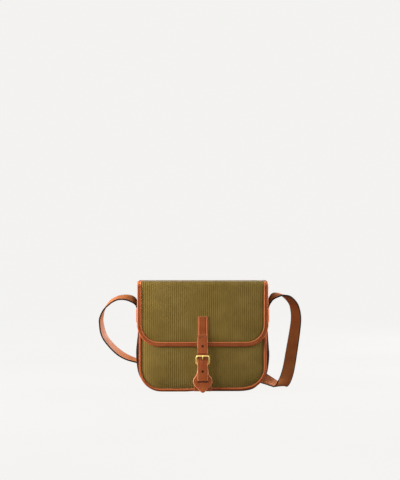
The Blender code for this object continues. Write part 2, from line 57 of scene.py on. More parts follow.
# ---------------------------------------------------------------- materials
class Nodes:
    """A material and short ways to add nodes to it."""

    def __init__(self, name):
        self.material = bpy.data.materials.new(name)
        self.material.use_nodes = True
        self.tree = self.material.node_tree
        self.shader = self.tree.nodes["Principled BSDF"]

    def add(self, kind, inputs=None, **settings):
        node = self.tree.nodes.new("ShaderNode" + kind)
        for key, value in settings.items():
            setattr(node, key, value)
        for key, value in (inputs or {}).items():
            self.put(node, key, value)
        return node

    def put(self, node, key, value):
        """Links a socket, or sets a plain value."""
        if isinstance(value, bpy.types.NodeSocket):
            self.tree.links.new(value, node.inputs[key])
        else:
            node.inputs[key].default_value = value

    def math(self, operation, first, second=0.0, third=0.0):
        return self.add("Math", {0: first, 1: second, 2: third}, operation=operation).outputs[0]

    def times(self, first, second):
        return self.math("MULTIPLY", first, second)

    def plus(self, first, second):
        return self.math("ADD", first, second)

    def less(self, value):
        """1 minus value."""
        return self.math("SUBTRACT", 1.0, value)

    def wave(self, value, length, kind="SINE"):
        """A wave from 0 to 1 that repeats each length of value."""
        return self.math("MULTIPLY_ADD", self.math(kind, self.times(value, math.tau / length)), 0.5, 0.5)

    def mix(self, share, first, second):
        return self.add("Mix", {"Factor": share, 6: first, 7: second}, data_type="RGBA").outputs[2]

    def noise(self, vector, scale, detail):
        inputs = {"Vector": vector, "Scale": scale, "Detail": detail, "Roughness": 0.55}
        return self.add("TexNoise", inputs).outputs["Fac"]

    def stretched(self, vector, along):
        """Texture coordinates with the second one scaled by along, which draws a pattern out."""
        return self.add("Mapping", {"Vector": vector, "Scale": (1.0, along, 1.0)}).outputs[0]

    def spread(self, value, low, high, out_low=0.0, out_high=1.0):
        """Maps low..high to out_low..out_high, held at both ends."""
        inputs = {"Value": value, "From Min": low, "From Max": high, "To Min": out_low, "To Max": out_high}
        return self.add("MapRange", inputs).outputs["Result"]

    def bump(self, height, strength, distance):
        return self.add("Bump", {"Height": height, "Strength": strength, "Distance": distance}).outputs["Normal"]

    def uv(self):
        return self.add("UVMap", uv_map="flat").outputs["UV"]

    def uv_parts(self, uv):
        """The two texture coordinates: across and along the material."""
        return self.add("SeparateXYZ", {0: uv}).outputs[:2]

    def mark(self, name):
        """A value that Shape stores at each point, 0 where a piece has none."""
        return self.add("Attribute", attribute_name=name).outputs["Fac"]

    def surface(self, colour=None, roughness=None, normal=None, **plain):
        for key, value in (("Base Color", colour), ("Roughness", roughness), ("Normal", normal)):
            if value is not None:
                self.put(self.shader, key, value)
        for key, value in plain.items():
            self.shader.inputs[key.replace("_", " ")].default_value = value
        return self.material


def rgb(red, green, blue):
    """A colour from screen values of 0 to 255, as linear light."""
    made = []
    for value in (red, green, blue):
        value /= 255
        made.append(value / 12.92 if value <= 0.04045 else ((value + 0.055) / 1.055) ** 2.4)
    return (*made, 1.0)


# The colour of painted shade: holes, the groove under the closure strap's tail and lines beside the buckle's bar.
PAINTED_SHADE_COLOUR = rgb(24, 10, 5)


def cloth(name, light, dark, valley_shade, rib_pitch, thread, rib_depth, sheen=0.25):
    """Ribbed or plain woven cloth. The ribs run along the second texture coordinate. valley_shade is painted shade in
    the hollows between the ribs and threads.
    """
    m = Nodes(name)
    uv = m.uv()
    across, along = m.uv_parts(uv)
    drift = m.times(m.noise(uv, 90, 3), rib_pitch * 0.22)
    rib = m.wave(m.plus(across, drift), rib_pitch, "COSINE")
    weave = m.times(m.plus(m.wave(along, thread), m.wave(across, thread)), 0.5)
    broken = m.spread(m.noise(uv, 45, 2), 0.38, 0.62, 0.35, 1.0)
    slub = m.spread(m.noise(m.stretched(uv, 0.12), 1500, 2), 0.35, 0.7)
    tone = m.mix(m.spread(m.noise(uv, 14, 4), 0.3, 0.7), light, dark)
    tone = m.mix(m.times(slub, 0.35), tone, dark)
    # Painted shade: the hollows of the ribs and the weave are darkened towards valley_shade.
    tone = m.mix(m.times(m.times(m.less(rib), broken), 0.55), tone, valley_shade)
    tone = m.mix(m.times(m.less(weave), 0.22), tone, valley_shade)
    height = m.plus(m.times(rib, rib_depth), m.times(weave, 0.35))
    height = m.plus(height, m.times(slub, 0.25))
    normal = m.bump(height, 0.6, 0.22 * MM)
    rough = m.spread(m.noise(uv, 300, 3), 0.3, 0.7, 0.78, 0.95)
    return m.surface(tone, rough, normal, Sheen_Weight=sheen, Sheen_Roughness=0.5, Specular_IOR_Level=0.04)


def leather(name, light, dark, edge, grain=1.0, gloss=(0.36, 0.52), edge_low=0.15, edge_high=0.85):
    """Smooth or grained leather. The edge mark, from 0 to 1, brings in the colour of cut or painted edges, and the
    painted_shade mark paints shade: the dark in and round holes, under a strap's tail and beside a buckle's bar."""
    m = Nodes(name)
    uv = m.uv()
    cloud = m.spread(m.noise(uv, 35, 4), 0.32, 0.68)
    fine = m.spread(m.noise(uv, 420, 4), 0.3, 0.7)
    pores = m.add("TexVoronoi", {"Vector": uv, "Scale": 900.0}, feature="DISTANCE_TO_EDGE").outputs["Distance"]
    crease = m.spread(pores, 0.0, 0.16)
    tone = m.mix(cloud, light, dark)
    tone = m.mix(m.times(fine, 0.45), tone, dark)
    # Painted shade: the grain's creases are darkened.
    tone = m.mix(m.times(m.less(crease), 0.25 * grain), tone, dark)
    ragged = m.plus(m.mark("edge"), m.math("MULTIPLY_ADD", fine, 0.12, -0.06))
    tone = m.mix(m.spread(ragged, edge_low, edge_high), tone, edge)
    # Painted shade: the painted_shade mark darkens holes, the groove under the strap's tail and the lines by the bar.
    tone = m.mix(m.mark("painted_shade"), tone, PAINTED_SHADE_COLOUR)
    height = m.plus(m.times(crease, 0.5 * grain), m.times(fine, 0.6))
    height = m.plus(height, m.times(cloud, 1.2))
    normal = m.bump(height, 0.45, 0.18 * MM * grain)
    rough = m.spread(m.plus(m.times(fine, 0.6), m.times(cloud, 0.4)), 0.2, 0.8, *gloss)
    return m.surface(tone, rough, normal, Specular_IOR_Level=0.13)


def thread_finish(name, light, dark):
    """Twisted sewing thread; the twist runs round the stitch."""
    m = Nodes(name)
    uv = m.uv()
    across, along = m.uv_parts(uv)
    ply = m.wave(m.plus(along, m.times(across, 0.8)), 0.7 * MM)
    tone = m.mix(m.math("MULTIPLY_ADD", ply, 0.7, 0.15), dark, light)
    fuzz = m.spread(m.noise(uv, 2500, 2), 0.3, 0.7, 0.55, 0.8)
    return m.surface(tone, fuzz, m.bump(ply, 0.5, 0.1 * MM), Sheen_Weight=0.2)


def metal(name, colour, dark, gloss, metallic=1.0):
    """Polished metal with a little tarnish and fine rubbing marks."""
    m = Nodes(name)
    uv = m.uv()
    cloud = m.spread(m.noise(uv, 260, 4), 0.35, 0.75)
    lines = m.spread(m.noise(m.stretched(uv, 0.08), 5200, 2), 0.3, 0.7)
    tone = m.mix(m.times(cloud, 0.6), colour, dark)
    rough = m.spread(m.plus(m.times(lines, 0.5), m.times(cloud, 0.5)), 0.1, 0.9, *gloss)
    return m.surface(tone, rough, m.bump(lines, 0.15, 0.04 * MM), Metallic=metallic)


CANVAS = cloth("canvas_olive", rgb(122, 102, 53), rgb(107, 87, 39), rgb(72, 55, 17), 3.6 * MM, 0.9 * MM, 1.5, 0.05)
GUSSET = cloth("gusset_black", rgb(36, 20, 18), rgb(20, 10, 9), rgb(8, 4, 4), 1.1 * MM, 0.55 * MM, 0.4, 0.02)
LINING = cloth("lining_cloth", rgb(168, 146, 106), rgb(148, 126, 88), rgb(112, 92, 62), 0.8 * MM, 0.4 * MM, 0.25)
BINDING = leather("binding_leather", rgb(146, 74, 33), rgb(123, 55, 20), rgb(190, 112, 70), 0.6)
SLEEVE_LEATHER = leather("sleeve_leather", rgb(142, 72, 32), rgb(122, 58, 22), rgb(186, 112, 72), 0.4)
CLOSURE = leather("closure_leather", rgb(152, 80, 40), rgb(126, 60, 26), rgb(208, 138, 96), 1.3, (0.45, 0.62))
STRAP = leather("strap_leather", rgb(178, 108, 62), rgb(156, 86, 44), rgb(12, 6, 6), 0.8, (0.52, 0.68), 0.5, 0.62)
THREAD = thread_finish("thread_brown", rgb(122, 62, 30), rgb(78, 38, 16))
THREAD_OLIVE = thread_finish("thread_olive", rgb(110, 90, 42), rgb(70, 54, 20))
THREAD_BLACK = thread_finish("thread_black", rgb(26, 20, 20), rgb(10, 7, 7))
BRASS = metal("brass", rgb(255, 226, 140), rgb(226, 178, 92), (0.34, 0.46), 0.58)
STEEL = metal("magnet_steel", rgb(176, 172, 164), rgb(120, 116, 110), (0.25, 0.42))
BOARD = leather("fibreboard", rgb(96, 82, 66), rgb(70, 58, 46), rgb(60, 48, 38), 0.5, (0.7, 0.9))


# ---------------------------------------------------------------- mesh building
def points_at(*parts):
    """Arrays of single coordinates, or plain numbers, joined into one array of points."""
    return np.stack(np.broadcast_arrays(*parts), -1)


def travelled(points):
    """The length of the way along a row of points, up to each of them."""
    return np.concatenate([[0], np.cumsum(np.linalg.norm(np.diff(points, axis=0), axis=1))])


def unit(vectors):
    """Each row scaled to length 1."""
    return vectors / np.linalg.norm(vectors, axis=1, keepdims=True)


def ring(across, out, count):
    """The points of an ellipse, from its two half widths."""
    angles = [k / count * math.tau for k in range(count)]
    return [(across * math.cos(angle), out * math.sin(angle)) for angle in angles]


def link(name, data):
    """A new object in the scene."""
    made = bpy.data.objects.new(name, data)
    bpy.context.scene.collection.objects.link(made)
    return made


def weld(mesh):
    """Joins points that meet and turns every face outwards."""
    bm = bmesh.new()
    bm.from_mesh(mesh)
    bmesh.ops.remove_doubles(bm, verts=bm.verts, dist=WELD_REACH)
    bmesh.ops.recalc_face_normals(bm, faces=bm.faces)
    bm.to_mesh(mesh)
    bm.free()


class Shape:
    """Points and faces of one piece. Texture coordinates are metres along the material. marks and painted_shades are
    the values from 0 to 1 that leather() colours by; painted_shades paint shade."""

    def __init__(self):
        self.points = []
        self.faces = []
        self.uvs = []
        self.marks = []
        self.painted_shades = []

    def grid(self, points, uvs, marks=0.0, painted_shades=0.0):
        """A sheet of faces between rows of points."""
        points = np.asarray(points, float)
        rows, cols = points.shape[:2]
        start = len(self.points)
        self.points.extend(points.reshape(-1, 3).tolist())
        flat = np.broadcast_to(np.asarray(uvs, float), (rows, cols, 2)).reshape(-1, 2)
        self.marks.extend(np.broadcast_to(marks, (rows, cols)).reshape(-1).tolist())
        self.painted_shades.extend(np.broadcast_to(painted_shades, (rows, cols)).reshape(-1).tolist())
        index = np.arange(rows * cols).reshape(rows, cols)
        quads = np.stack([index[:-1, :-1], index[:-1, 1:], index[1:, 1:], index[1:, :-1]], -1).reshape(-1, 4)
        self.faces.extend((quads + start).tolist())
        self.uvs.extend(flat[quads.reshape(-1)].tolist())

    def cap(self, corners, uvs, mark=0.0):
        """One flat face."""
        start = len(self.points)
        self.points.extend(np.asarray(corners, float).tolist())
        self.marks.extend([mark] * len(corners))
        self.painted_shades.extend([0.0] * len(corners))
        self.faces.append(list(range(start, start + len(corners))))
        self.uvs.extend(np.asarray(uvs, float).tolist())

    def slab(self, outer, inner, uvs, marks=0.0, rim=0.0, painted_shades=0.0):
        """A closed sheet between two grids of the same size. rim is the least mark on its edges."""
        outer, inner = np.asarray(outer, float), np.asarray(inner, float)
        uvs = np.broadcast_to(np.asarray(uvs, float), (*outer.shape[:2], 2))
        marks = np.broadcast_to(marks, outer.shape[:2])
        self.grid(outer, uvs, marks, painted_shades)
        self.grid(inner, uvs, marks, painted_shades)
        for part in (np.s_[0, :], np.s_[-1, :], np.s_[:, 0], np.s_[:, -1]):
            thick = np.linalg.norm(outer[part] - inner[part], axis=-1, keepdims=True)
            second = uvs[part] + np.concatenate([thick, thick], -1)
            self.grid(
                np.stack([outer[part], inner[part]]), np.stack([uvs[part], second]),
                np.maximum(np.stack([marks[part], marks[part]]), rim),
            )

    def tube(self, centres, across, out, profile, cyclic=False, marks=None, scale=1.0):
        """Sweeps a closed profile of (across, out) points along centres. across and out are one direction each, or
        one for each centre, and scale sizes the profile."""
        centres = np.asarray(centres, float)
        across, out = (np.broadcast_to(np.asarray(a, float), centres.shape)[:, None] for a in (across, out))
        profile = np.asarray(profile, float)
        profile = np.concatenate([profile, profile[:1]])
        around = travelled(profile)
        size = np.broadcast_to(scale, len(centres))[:, None, None]
        rings = centres[:, None] + across * profile[None, :, :1] * size + out * profile[None, :, 1:] * size
        if cyclic:
            rings = np.concatenate([rings, rings[:1]])
            centres = np.concatenate([centres, centres[:1]])
        along = travelled(centres)
        uvs = points_at(around[None], along[:, None])
        marks = np.zeros(len(profile) - 1) if marks is None else np.asarray(marks, float)
        self.grid(rings, uvs, np.concatenate([marks, marks[:1]]))
        if not cyclic:
            for end, v in ((rings[0], 0), (rings[-1], along[-1])):
                self.cap(end[:-1], profile[:-1] + [0, v], float(np.median(marks)))

    def stitch(self, start, end, out, radius, rise):
        """A short thread that dips in at both ends."""
        start, end, out = Vector(start), Vector(end), Vector(out).normalized()
        along = (end - start).normalized()
        side = along.cross(out).normalized()
        shares = (0.0, 0.12, 0.35, 0.65, 0.88, 1.0)
        sizes = (0.45, 0.85, 1.0, 1.0, 0.85, 0.45)
        lifts = (-0.9, -0.15, 0.9, 0.9, -0.15, -0.9)
        turns = [k / 6 * math.tau for k in range(7)]
        rows = []
        for share, size, lift in zip(shares, sizes, lifts):
            middle = start.lerp(end, share) + out * rise * lift
            rows.append([middle + (side * math.cos(t) + out * math.sin(t)) * radius * size for t in turns])
        length = (end - start).length
        uvs = [[(t * radius, share * length) for t in turns] for share in shares]
        self.grid(rows, uvs)
        self.cap(rows[0][:-1], uvs[0][:-1])
        self.cap(rows[-1][:-1], uvs[-1][:-1])

    def seam(self, places, out, gap, radius, rise=0.25 * MM):
        """A stitch between each two places. gap is the share of the way that is left free at both of its ends."""
        for first, second in zip(places[:-1], places[1:]):
            first, second = Vector(first), Vector(second)
            self.stitch(first.lerp(second, gap), first.lerp(second, 1 - gap), out, radius, rise)

    def row(self, starts, step, out, radius, rise=0.25 * MM):
        """A stitch from each place in starts, all of them by the same step."""
        for start in starts:
            self.stitch(start, Vector(start) + Vector(step), out, radius, rise)

    def mesh(self, name):
        """The points and faces as a mesh."""
        mesh = bpy.data.meshes.new(name)
        mesh.from_pydata(self.points, [], self.faces)
        return mesh

    def make(self, name, finish, body, slot, smooth, replaces=()):
        """Makes the piece. body is one body, which it is attached to, or a bend between two, for which its place is
        baked into its points, or None. Edges sharper than smooth, in degrees, stay sharp."""
        mesh = self.mesh(name)
        mesh.uv_layers.new(name="flat").data.foreach_set("uv", np.asarray(self.uvs, np.float32).reshape(-1))
        for mark, values in (("edge", self.marks), ("painted_shade", self.painted_shades)):
            if mark == "edge" or any(values):
                stored = mesh.attributes.new(mark, "FLOAT", "POINT").data
                stored.foreach_set("value", np.asarray(values, np.float32))
        weld(mesh)
        mesh.shade_smooth()
        mesh.set_sharp_from_angle(angle=math.radians(smooth))
        mesh.materials.append(finish)
        piece = link(name, mesh)
        if replaces:
            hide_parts(*replaces)
        if isinstance(body, str):
            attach(piece, body)
        elif body:
            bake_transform(piece)
        return piece


def scaled(pairs):
    """Pairs of numbers in mm, in metres."""
    return [(first * MM, second * MM) for first, second in pairs]


def steps(low, high, spacing):
    """Evenly spaced values from low to high, about spacing apart."""
    return np.linspace(low, high, max(2, int(round((high - low) / spacing)) + 1))


def wobble(x, y, z, scale, seed=0.0):
    """Smooth noise from -1 to 1 on arrays."""
    x, y, z = np.broadcast_arrays(x, y, z)
    places = zip(x.flat, y.flat, z.flat)
    flat = [noise.noise(Vector((a * scale + seed, b * scale, c * scale))) for a, b, c in places]
    return np.array(flat).reshape(x.shape)


def ease(t):
    """0 up to t = 0, 1 from t = 1, and a smooth step between."""
    t = np.clip(t, 0, 1)
    return t * t * (3 - 2 * t)


def bell(x, width):
    """1 at x = 0, falling smoothly to both sides."""
    return np.exp(-((x / width) ** 2))


class Path:
    """A line in the side view, (y, z), through corners that are rounded, with its length and outward normal."""

    def __init__(self, corners, radii):
        corners = [np.array(c, float) for c in corners]
        line = [corners[0]]
        for i, radius in enumerate(radii):
            before, corner, after = corners[i], corners[i + 1], corners[i + 2]
            into = (corner - before) / np.linalg.norm(corner - before)
            away = (after - corner) / np.linalg.norm(after - corner)
            turn = math.acos(np.clip(into @ away, -1, 1))
            cut = radius * math.tan(turn / 2)
            bend = np.sign(into[0] * away[1] - into[1] * away[0])
            side = np.array([-into[1], into[0]]) * bend
            centre = corner - into * cut + side * radius
            first = corner - into * cut - centre
            for step in range(13):
                angle = bend * turn * step / 12
                c, s = math.cos(angle), math.sin(angle)
                line.append(centre + [first[0] * c - first[1] * s, first[0] * s + first[1] * c])
        line.append(corners[-1])
        self.points = np.array(line)
        self.lengths = travelled(self.points)
        self.total = self.lengths[-1]

    def place(self, x, s, h):
        """Points at x across, s along and h out from the line. s past either end goes straight on."""
        x, s, h = np.broadcast_arrays(np.asarray(x, float), s, h)
        kept = np.clip(s, 0, self.total)
        y, z = self.at(kept)
        near_y, near_z = self.at(kept - 0.2 * MM)
        far_y, far_z = self.at(kept + 0.2 * MM)
        dy, dz = far_y - near_y, far_z - near_z
        size = np.hypot(dy, dz)
        dy, dz = dy / size, dz / size
        past = s - kept
        return points_at(x, y + dy * past + dz * h, z + dz * past - dy * h)

    def at(self, s):
        """y and z on the line itself, at s or at its nearer end."""
        s = np.clip(s, 0, self.total)
        return [np.interp(s, self.lengths, self.points[:, k]) for k in (0, 1)]

    def out(self, s):
        """The outward direction at s."""
        return self.place(0, s, 1.0) - self.place(0, s, 0.0)


# ---------------------------------------------------------------- camera, light and floor
EYE = (-0.0048, -2.036, 0.267)
LENS = 85.7
PAGE = rgb(244, 243, 241)


def area_light(name, place, target, size, power, colour=(1, 1, 1)):
    light = bpy.data.lights.new(name, "AREA")
    light.shape = "RECTANGLE"
    light.size, light.size_y = size
    light.energy = power
    light.color = colour
    lamp = link(name, light)
    lamp.location = place
    lamp.rotation_euler = (Vector(target) - Vector(place)).to_track_quat("-Z", "Y").to_euler()
    lamp.visible_camera = False


def studio():
    """The camera, the lights, and a pale floor that curves up into a wall."""
    camera = link("camera", bpy.data.cameras.new("camera"))
    camera.data.lens = LENS
    camera.data.sensor_width = 36
    camera.location = EYE
    camera.rotation_euler = (math.pi / 2, 0, 0)
    bpy.context.scene.camera = camera
    bpy.context.scene.view_settings.view_transform = "Standard"

    world = bpy.data.worlds.new("studio")
    world.use_nodes = True
    background = world.node_tree.nodes["Background"]
    background.inputs["Color"].default_value = PAGE
    background.inputs["Strength"].default_value = 0.22
    bpy.context.scene.world = world

    m = Nodes("pale_floor")
    paper = m.spread(m.noise(m.add("TexCoord").outputs["Object"], 3, 2), 0.3, 0.7, 0.006, 0.012)
    m.surface(PAGE, 0.9, Emission_Color=PAGE, Emission_Strength=0.99, Specular_IOR_Level=0.0)
    m.put(m.shader, "Base Color", m.add("CombineColor", {0: paper, 1: paper, 2: paper}).outputs[0])
    reach, rise, bend = 3.2, 3.4, 1.2  # how far the floor goes, how high its wall is, and the curve between them
    profile = [(0.0, 0.0), (reach - bend, 0.0)]
    for step in range(1, 13):
        angle = step / 12 * math.pi / 2
        profile.append((reach - bend + bend * math.sin(angle), bend - bend * math.cos(angle)))
    profile.append((reach, rise))
    turns = np.linspace(0, math.tau, 65)
    shape = Shape()
    shape.grid([[(r * math.cos(t), r * math.sin(t), z) for t in turns] for r, z in profile], np.zeros(2))
    mesh = shape.mesh("floor")
    weld(mesh)
    mesh.shade_smooth()
    mesh.materials.append(m.material)
    floor = link("floor", mesh)
    floor.visible_diffuse = False
    floor.visible_glossy = False

    middle, warm = (0, 0, 0.1), (1.0, 0.985, 0.955)
    area_light("key", (-0.56, -0.28, 0.34), middle, (0.22, 0.22), 4.7, warm)
    area_light("fill", (0.1, -1.6, 0.6), middle, (0.8, 0.8), 9.6, warm)
    area_light("rim", (1.05, 0.9, 0.5), middle, (0.6, 0.6), 42.0)
    area_light("left", (-1.0, -0.2, 0.26), (0, 0, 0.08), (0.3, 0.3), 15.0, warm)
    area_light("side", (0.95, -0.04, 0.4), (0.13, 0, 0.1), (0.4, 0.4), 15.0, (1.0, 0.96, 0.9))
    area_light("card", (0, 1.5, 0.7), middle, (2.4, 1.6), 7.0)


studio()


# ---------------------------------------------------------------- shoulder strap
# The strap's route from the left patch to the right one, in mm: its middle, and from its front to its rear edge.
SHOULDER_ROUTE = (
    ((-116.3, 0, 124), (0, 1, 0)),
    ((-116.3, 0, 142), (0, 1, 0)),
    ((-116.3, -0.1, 148), (0, 1, 0.05)),
    ((-118.8, -2.5, 156), (0, 0.9, 0.4)),
    ((-125, -3.5, 161.5), (0, 0.88, 0.46)),
    ((-134.5, -3, 164.6), (0, 0.93, 0.36)),
    ((-144, -1, 164.8), (0, 0.97, 0.26)),
    ((-154, 2.5, 162.4), (-0.03, 1, 0.22)),
    ((-166.2, 7, 155), (-0.12, 1, 0.13)),
    ((-176.8, 11, 142.3), (-0.03, 1, -0.08)),
    ((-181.8, 14, 128.2), (0.18, 1, -0.06)),
    ((-182.2, 17, 117.1), (0.2, 1, -0.03)),
    ((-180.2, 21, 103.5), (0.29, 1, 0.07)),
    ((-175.4, 26, 90.5), (0.26, 1, 0.14)),
    ((-166.3, 31, 77.5), (0.21, 1, 0.24)),
    ((-153.6, 37, 64.3), (0.15, 1, 0.34)),
    ((-139.5, 42, 54.8), (0.09, 1, 0.31)),
    ((-121.6, 47, 47.5), (0.02, 1, 0.2)),
    ((-96, 51, 38.5), (0, 1, 0)),
    ((-66, 53, 28), (0, 1, -0.6)),
    ((-32, 54, 17.5), (0, 0.5, -1)),
    ((4, 54, 12.2), (0, 0.08, -1)),
    ((34, 56, 11.6), (0, 0, -1)),
    ((58, 68, 11.6), (0, 0, -1)),
    ((66, 88, 11.6), (0, 0, -1)),
    ((54, 107, 11.6), (0, 0, -1)),
    ((28, 116, 11.6), (0, 0, -1)),
    ((-8, 118, 11.6), (0, 0, -1)),
    ((-40, 122, 11.6), (0, 0, -1)),
    ((-62, 136, 11.6), (0, 0, -1)),
    ((-66, 158, 11.6), (0, 0, -1)),
    ((-48, 176, 11.6), (0, 0, -1)),
    ((-18, 182, 11.6), (0, 0, -1)),
    ((20, 179, 11.6), (0, 0, -1)),
    ((58, 166, 11.6), (0, 0, -1)),
    ((86, 144, 11.6), (-0.05, 0, -1)),
    ((104, 119, 11.6), (-0.25, -0.1, -1)),
    ((115.5, 95, 7.9), (-0.75, -0.3, -0.59)),
    ((126, 70, 4.9), (-0.9, -0.3, -0.28)),
    ((133.5, 50, 3.4), (-0.93, -0.32, -0.15)),
    ((139, 37.5, 2.5), (-0.94, -0.32, -0.08)),
    ((143, 31.5, 5.2), (-0.96, -0.2, 0)),
    ((147, 29.5, 10.5), (-0.97, -0.08, 0.06)),
    ((151.2, 28.5, 20), (-0.98, 0.15, 0.05)),
    ((155.6, 26, 37.5), (-0.92, 0.38, 0)),
    ((159.9, 22, 64.8), (-0.89, 0.45, -0.04)),
    ((165.7, 17, 104.5), (-0.79, 0.61, -0.05)),
    ((167.6, 14, 128.4), (-0.73, 0.67, -0.11)),
    ((164.6, 11, 147.2), (-0.63, 0.76, -0.13)),
    ((159, 8, 157.6), (-0.44, 0.86, -0.26)),
    ((150.6, 4, 165.6), (-0.25, 0.93, -0.27)),
    ((141, 0, 169.6), (0.03, 1, 0.02)),
    ((132, -2.5, 169.4), (0, 0.95, 0.3)),
    ((124.4, -3.5, 166), (0, 0.88, 0.47)),
    ((118.8, -2.5, 157.5), (0, 0.9, 0.4)),
    ((116.3, -0.1, 148), (0, 1, 0.05)),
    ((116.3, 0, 142), (0, 1, 0)),
    ((116.3, 0, 124), (0, 1, 0)),
)
SHOULDER_WIDTH = 22 * MM
SHOULDER_THICK = 2.4 * MM


def catmull(before, start, end, after, t):
    """A point on a smooth line between start and end."""
    return 0.5 * (
        2 * start + (end - before) * t + (2 * before - 5 * start + 4 * end - after) * t * t
        + (3 * start - before - 3 * end + after) * t ** 3
    )


def shoulder_strap():
    """The strap along its route, with painted edges."""
    places = [np.array(place) * MM for place, _ in SHOULDER_ROUTE]
    widths = [np.array(across) / np.linalg.norm(across) for _, across in SHOULDER_ROUTE]
    centres, across = [], []
    last = len(places) - 1
    for i in range(last):
        picked = [max(0, i - 1), i, i + 1, min(last, i + 2)]
        count = max(2, round(np.linalg.norm(places[i + 1] - places[i]) / (2.2 * MM)))
        for step in range(count):
            t = step / count
            centres.append(catmull(*(places[k] for k in picked), t))
            across.append(widths[i] + (widths[i + 1] - widths[i]) * t)
    centres.append(places[-1])
    across.append(widths[-1])
    centres, across = np.array(centres), np.array(across)
    for _ in range(3):
        across[1:-1] = (across[:-2] + across[1:-1] * 2 + across[2:]) / 4
    along = unit(np.gradient(centres, axis=0))
    across = unit(across - along * np.sum(across * along, axis=1, keepdims=True))
    out = np.cross(along, across)
    half, thick = SHOULDER_WIDTH / 2, SHOULDER_THICK / 2
    round_off, paint = 0.35 * MM, 0.5 * MM  # the rounding of the edges, and how far the paint comes in past it
    painted = half - round_off - paint
    lower = [
        (half - round_off, -thick), (half - round_off * 0.2, round_off * 0.7 - thick), (half, round_off - thick),
    ]
    side = lower + [(half, 0)] + [(u, -v) for u, v in reversed(lower)]
    top = [(painted, thick), (painted - 0.2 * MM, thick)]
    top += [(share * half, thick) for share in (0.6, 0.2, -0.2, -0.6)]
    top += [(0.2 * MM - painted, thick), (-painted, thick)]
    profile = side + top + [(-u, -v) for u, v in side] + [(-u, -v) for u, v in top]
    marks = [1.0] * (len(side) + 1) + [0.0] * 6 + [1.0]
    shape = Shape()
    shape.tube(centres, across, out, profile, marks=marks + marks)
    strap = shape.make("shoulder_strap_leather", STRAP, "bag", "strap_leather", 50, ["shoulder_strap"])


shoulder_strap()


# ---------------------------------------------------------------- outlines
def corner_lift(x, half_width, radius):
    """How far the outline's lower edge has risen above its lowest line at x, for rounded lower corners."""
    past = np.clip(np.abs(x) - (half_width - radius), 0, radius)
    return radius - np.sqrt(np.maximum(radius ** 2 - past ** 2, 0))


def edge_distance(x, up, half_width, radius):
    """Distance in from a U outline. up is the height above its lowest line."""
    x = np.abs(x)
    side = half_width - x
    from_centre = np.hypot(np.maximum(x - (half_width - radius), 0), np.maximum(radius - up, 0))
    rounded = radius - from_centre
    return np.where((x > half_width - radius) & (up < radius), rounded, np.minimum(side, up))


def u_route(half_width, bottom, top, radius, spacing):
    """(x, z) points down the left side, round the corners and up the right side, with outward directions."""
    points, normals = [], []
    for z in steps(bottom + radius, top, spacing)[::-1]:
        points.append((-half_width, z))
        normals.append((-1.0, 0.0))
    count = max(8, int(radius * math.pi / 2 / spacing))
    for step in range(1, count):
        angle = math.pi + step / count * math.pi / 2
        normals.append((math.cos(angle), math.sin(angle)))
        points.append((-half_width + radius + radius * math.cos(angle), bottom + radius + radius * math.sin(angle)))
    middle = [(x, bottom) for x in steps(-half_width + radius, half_width - radius, spacing)]
    mirrored = [(-x, z) for x, z in reversed(points)]
    other = [(-nx, nz) for nx, nz in reversed(normals)]
    return np.array(points + middle + mirrored), np.array(normals + [(0.0, -1.0)] * len(middle) + other)


def ribs(x, s, pitch=3.6 * MM, depth=0.09 * MM):
    """The height of the canvas's ribs, a little uneven along their length."""
    drift = wobble(x * 0, s, x, 35, 3.1) * pitch * 0.12
    strength = 0.75 + 0.5 * wobble(x, s, 0, 26, 9.4)
    return depth * strength * np.cos((x + drift) * math.tau / pitch)


def canvas_sheet(half_width, length, top, radius, rib=0.6 * MM, row=3.0 * MM):
    """x and s grids for a canvas panel whose lower edge is at s = length and whose lower corners are rounded."""
    columns = steps(-half_width, half_width, rib)
    rows = np.linspace(0, 1, max(3, int((length - top) / row)))
    lowest = length - corner_lift(columns, half_width, radius)
    x = np.broadcast_to(columns, (len(rows), len(columns)))
    s = top + rows[:, None] * (lowest - top)[None]
    return x, s


# ---------------------------------------------------------------- body
BODY_HALF = 112.5 * MM
BODY_BOTTOM = 2.5 * MM
BODY_TOP = 187 * MM
BODY_CORNER = 40 * MM
BODY_FACE = 32.5 * MM
PIPING_WIDTH = 5 * MM


def roll(width, deep, proud, count=9):
    """The section of a leather edging: a soft roll over its outer face. (across, out) with out at 0 on the seam."""
    half = width / 2
    face = []
    for step in range(count):
        angle = math.pi * (1 - step / (count - 1))
        face.append((half * math.cos(angle), proud * math.sin(angle) ** 0.75))
    return face + [(half, -deep * 0.5), (half * 0.9, -deep), (-half * 0.9, -deep), (-half, -deep * 0.5)]


def panel_fall(d):
    """How far a panel has dropped back from its middle, by the distance d in from its edge."""
    rim = np.clip(1 - (d + 1 * MM) / (24 * MM), 0, 0.985)
    return 5.4 * MM * (1 - np.sqrt(1 - rim ** 2))


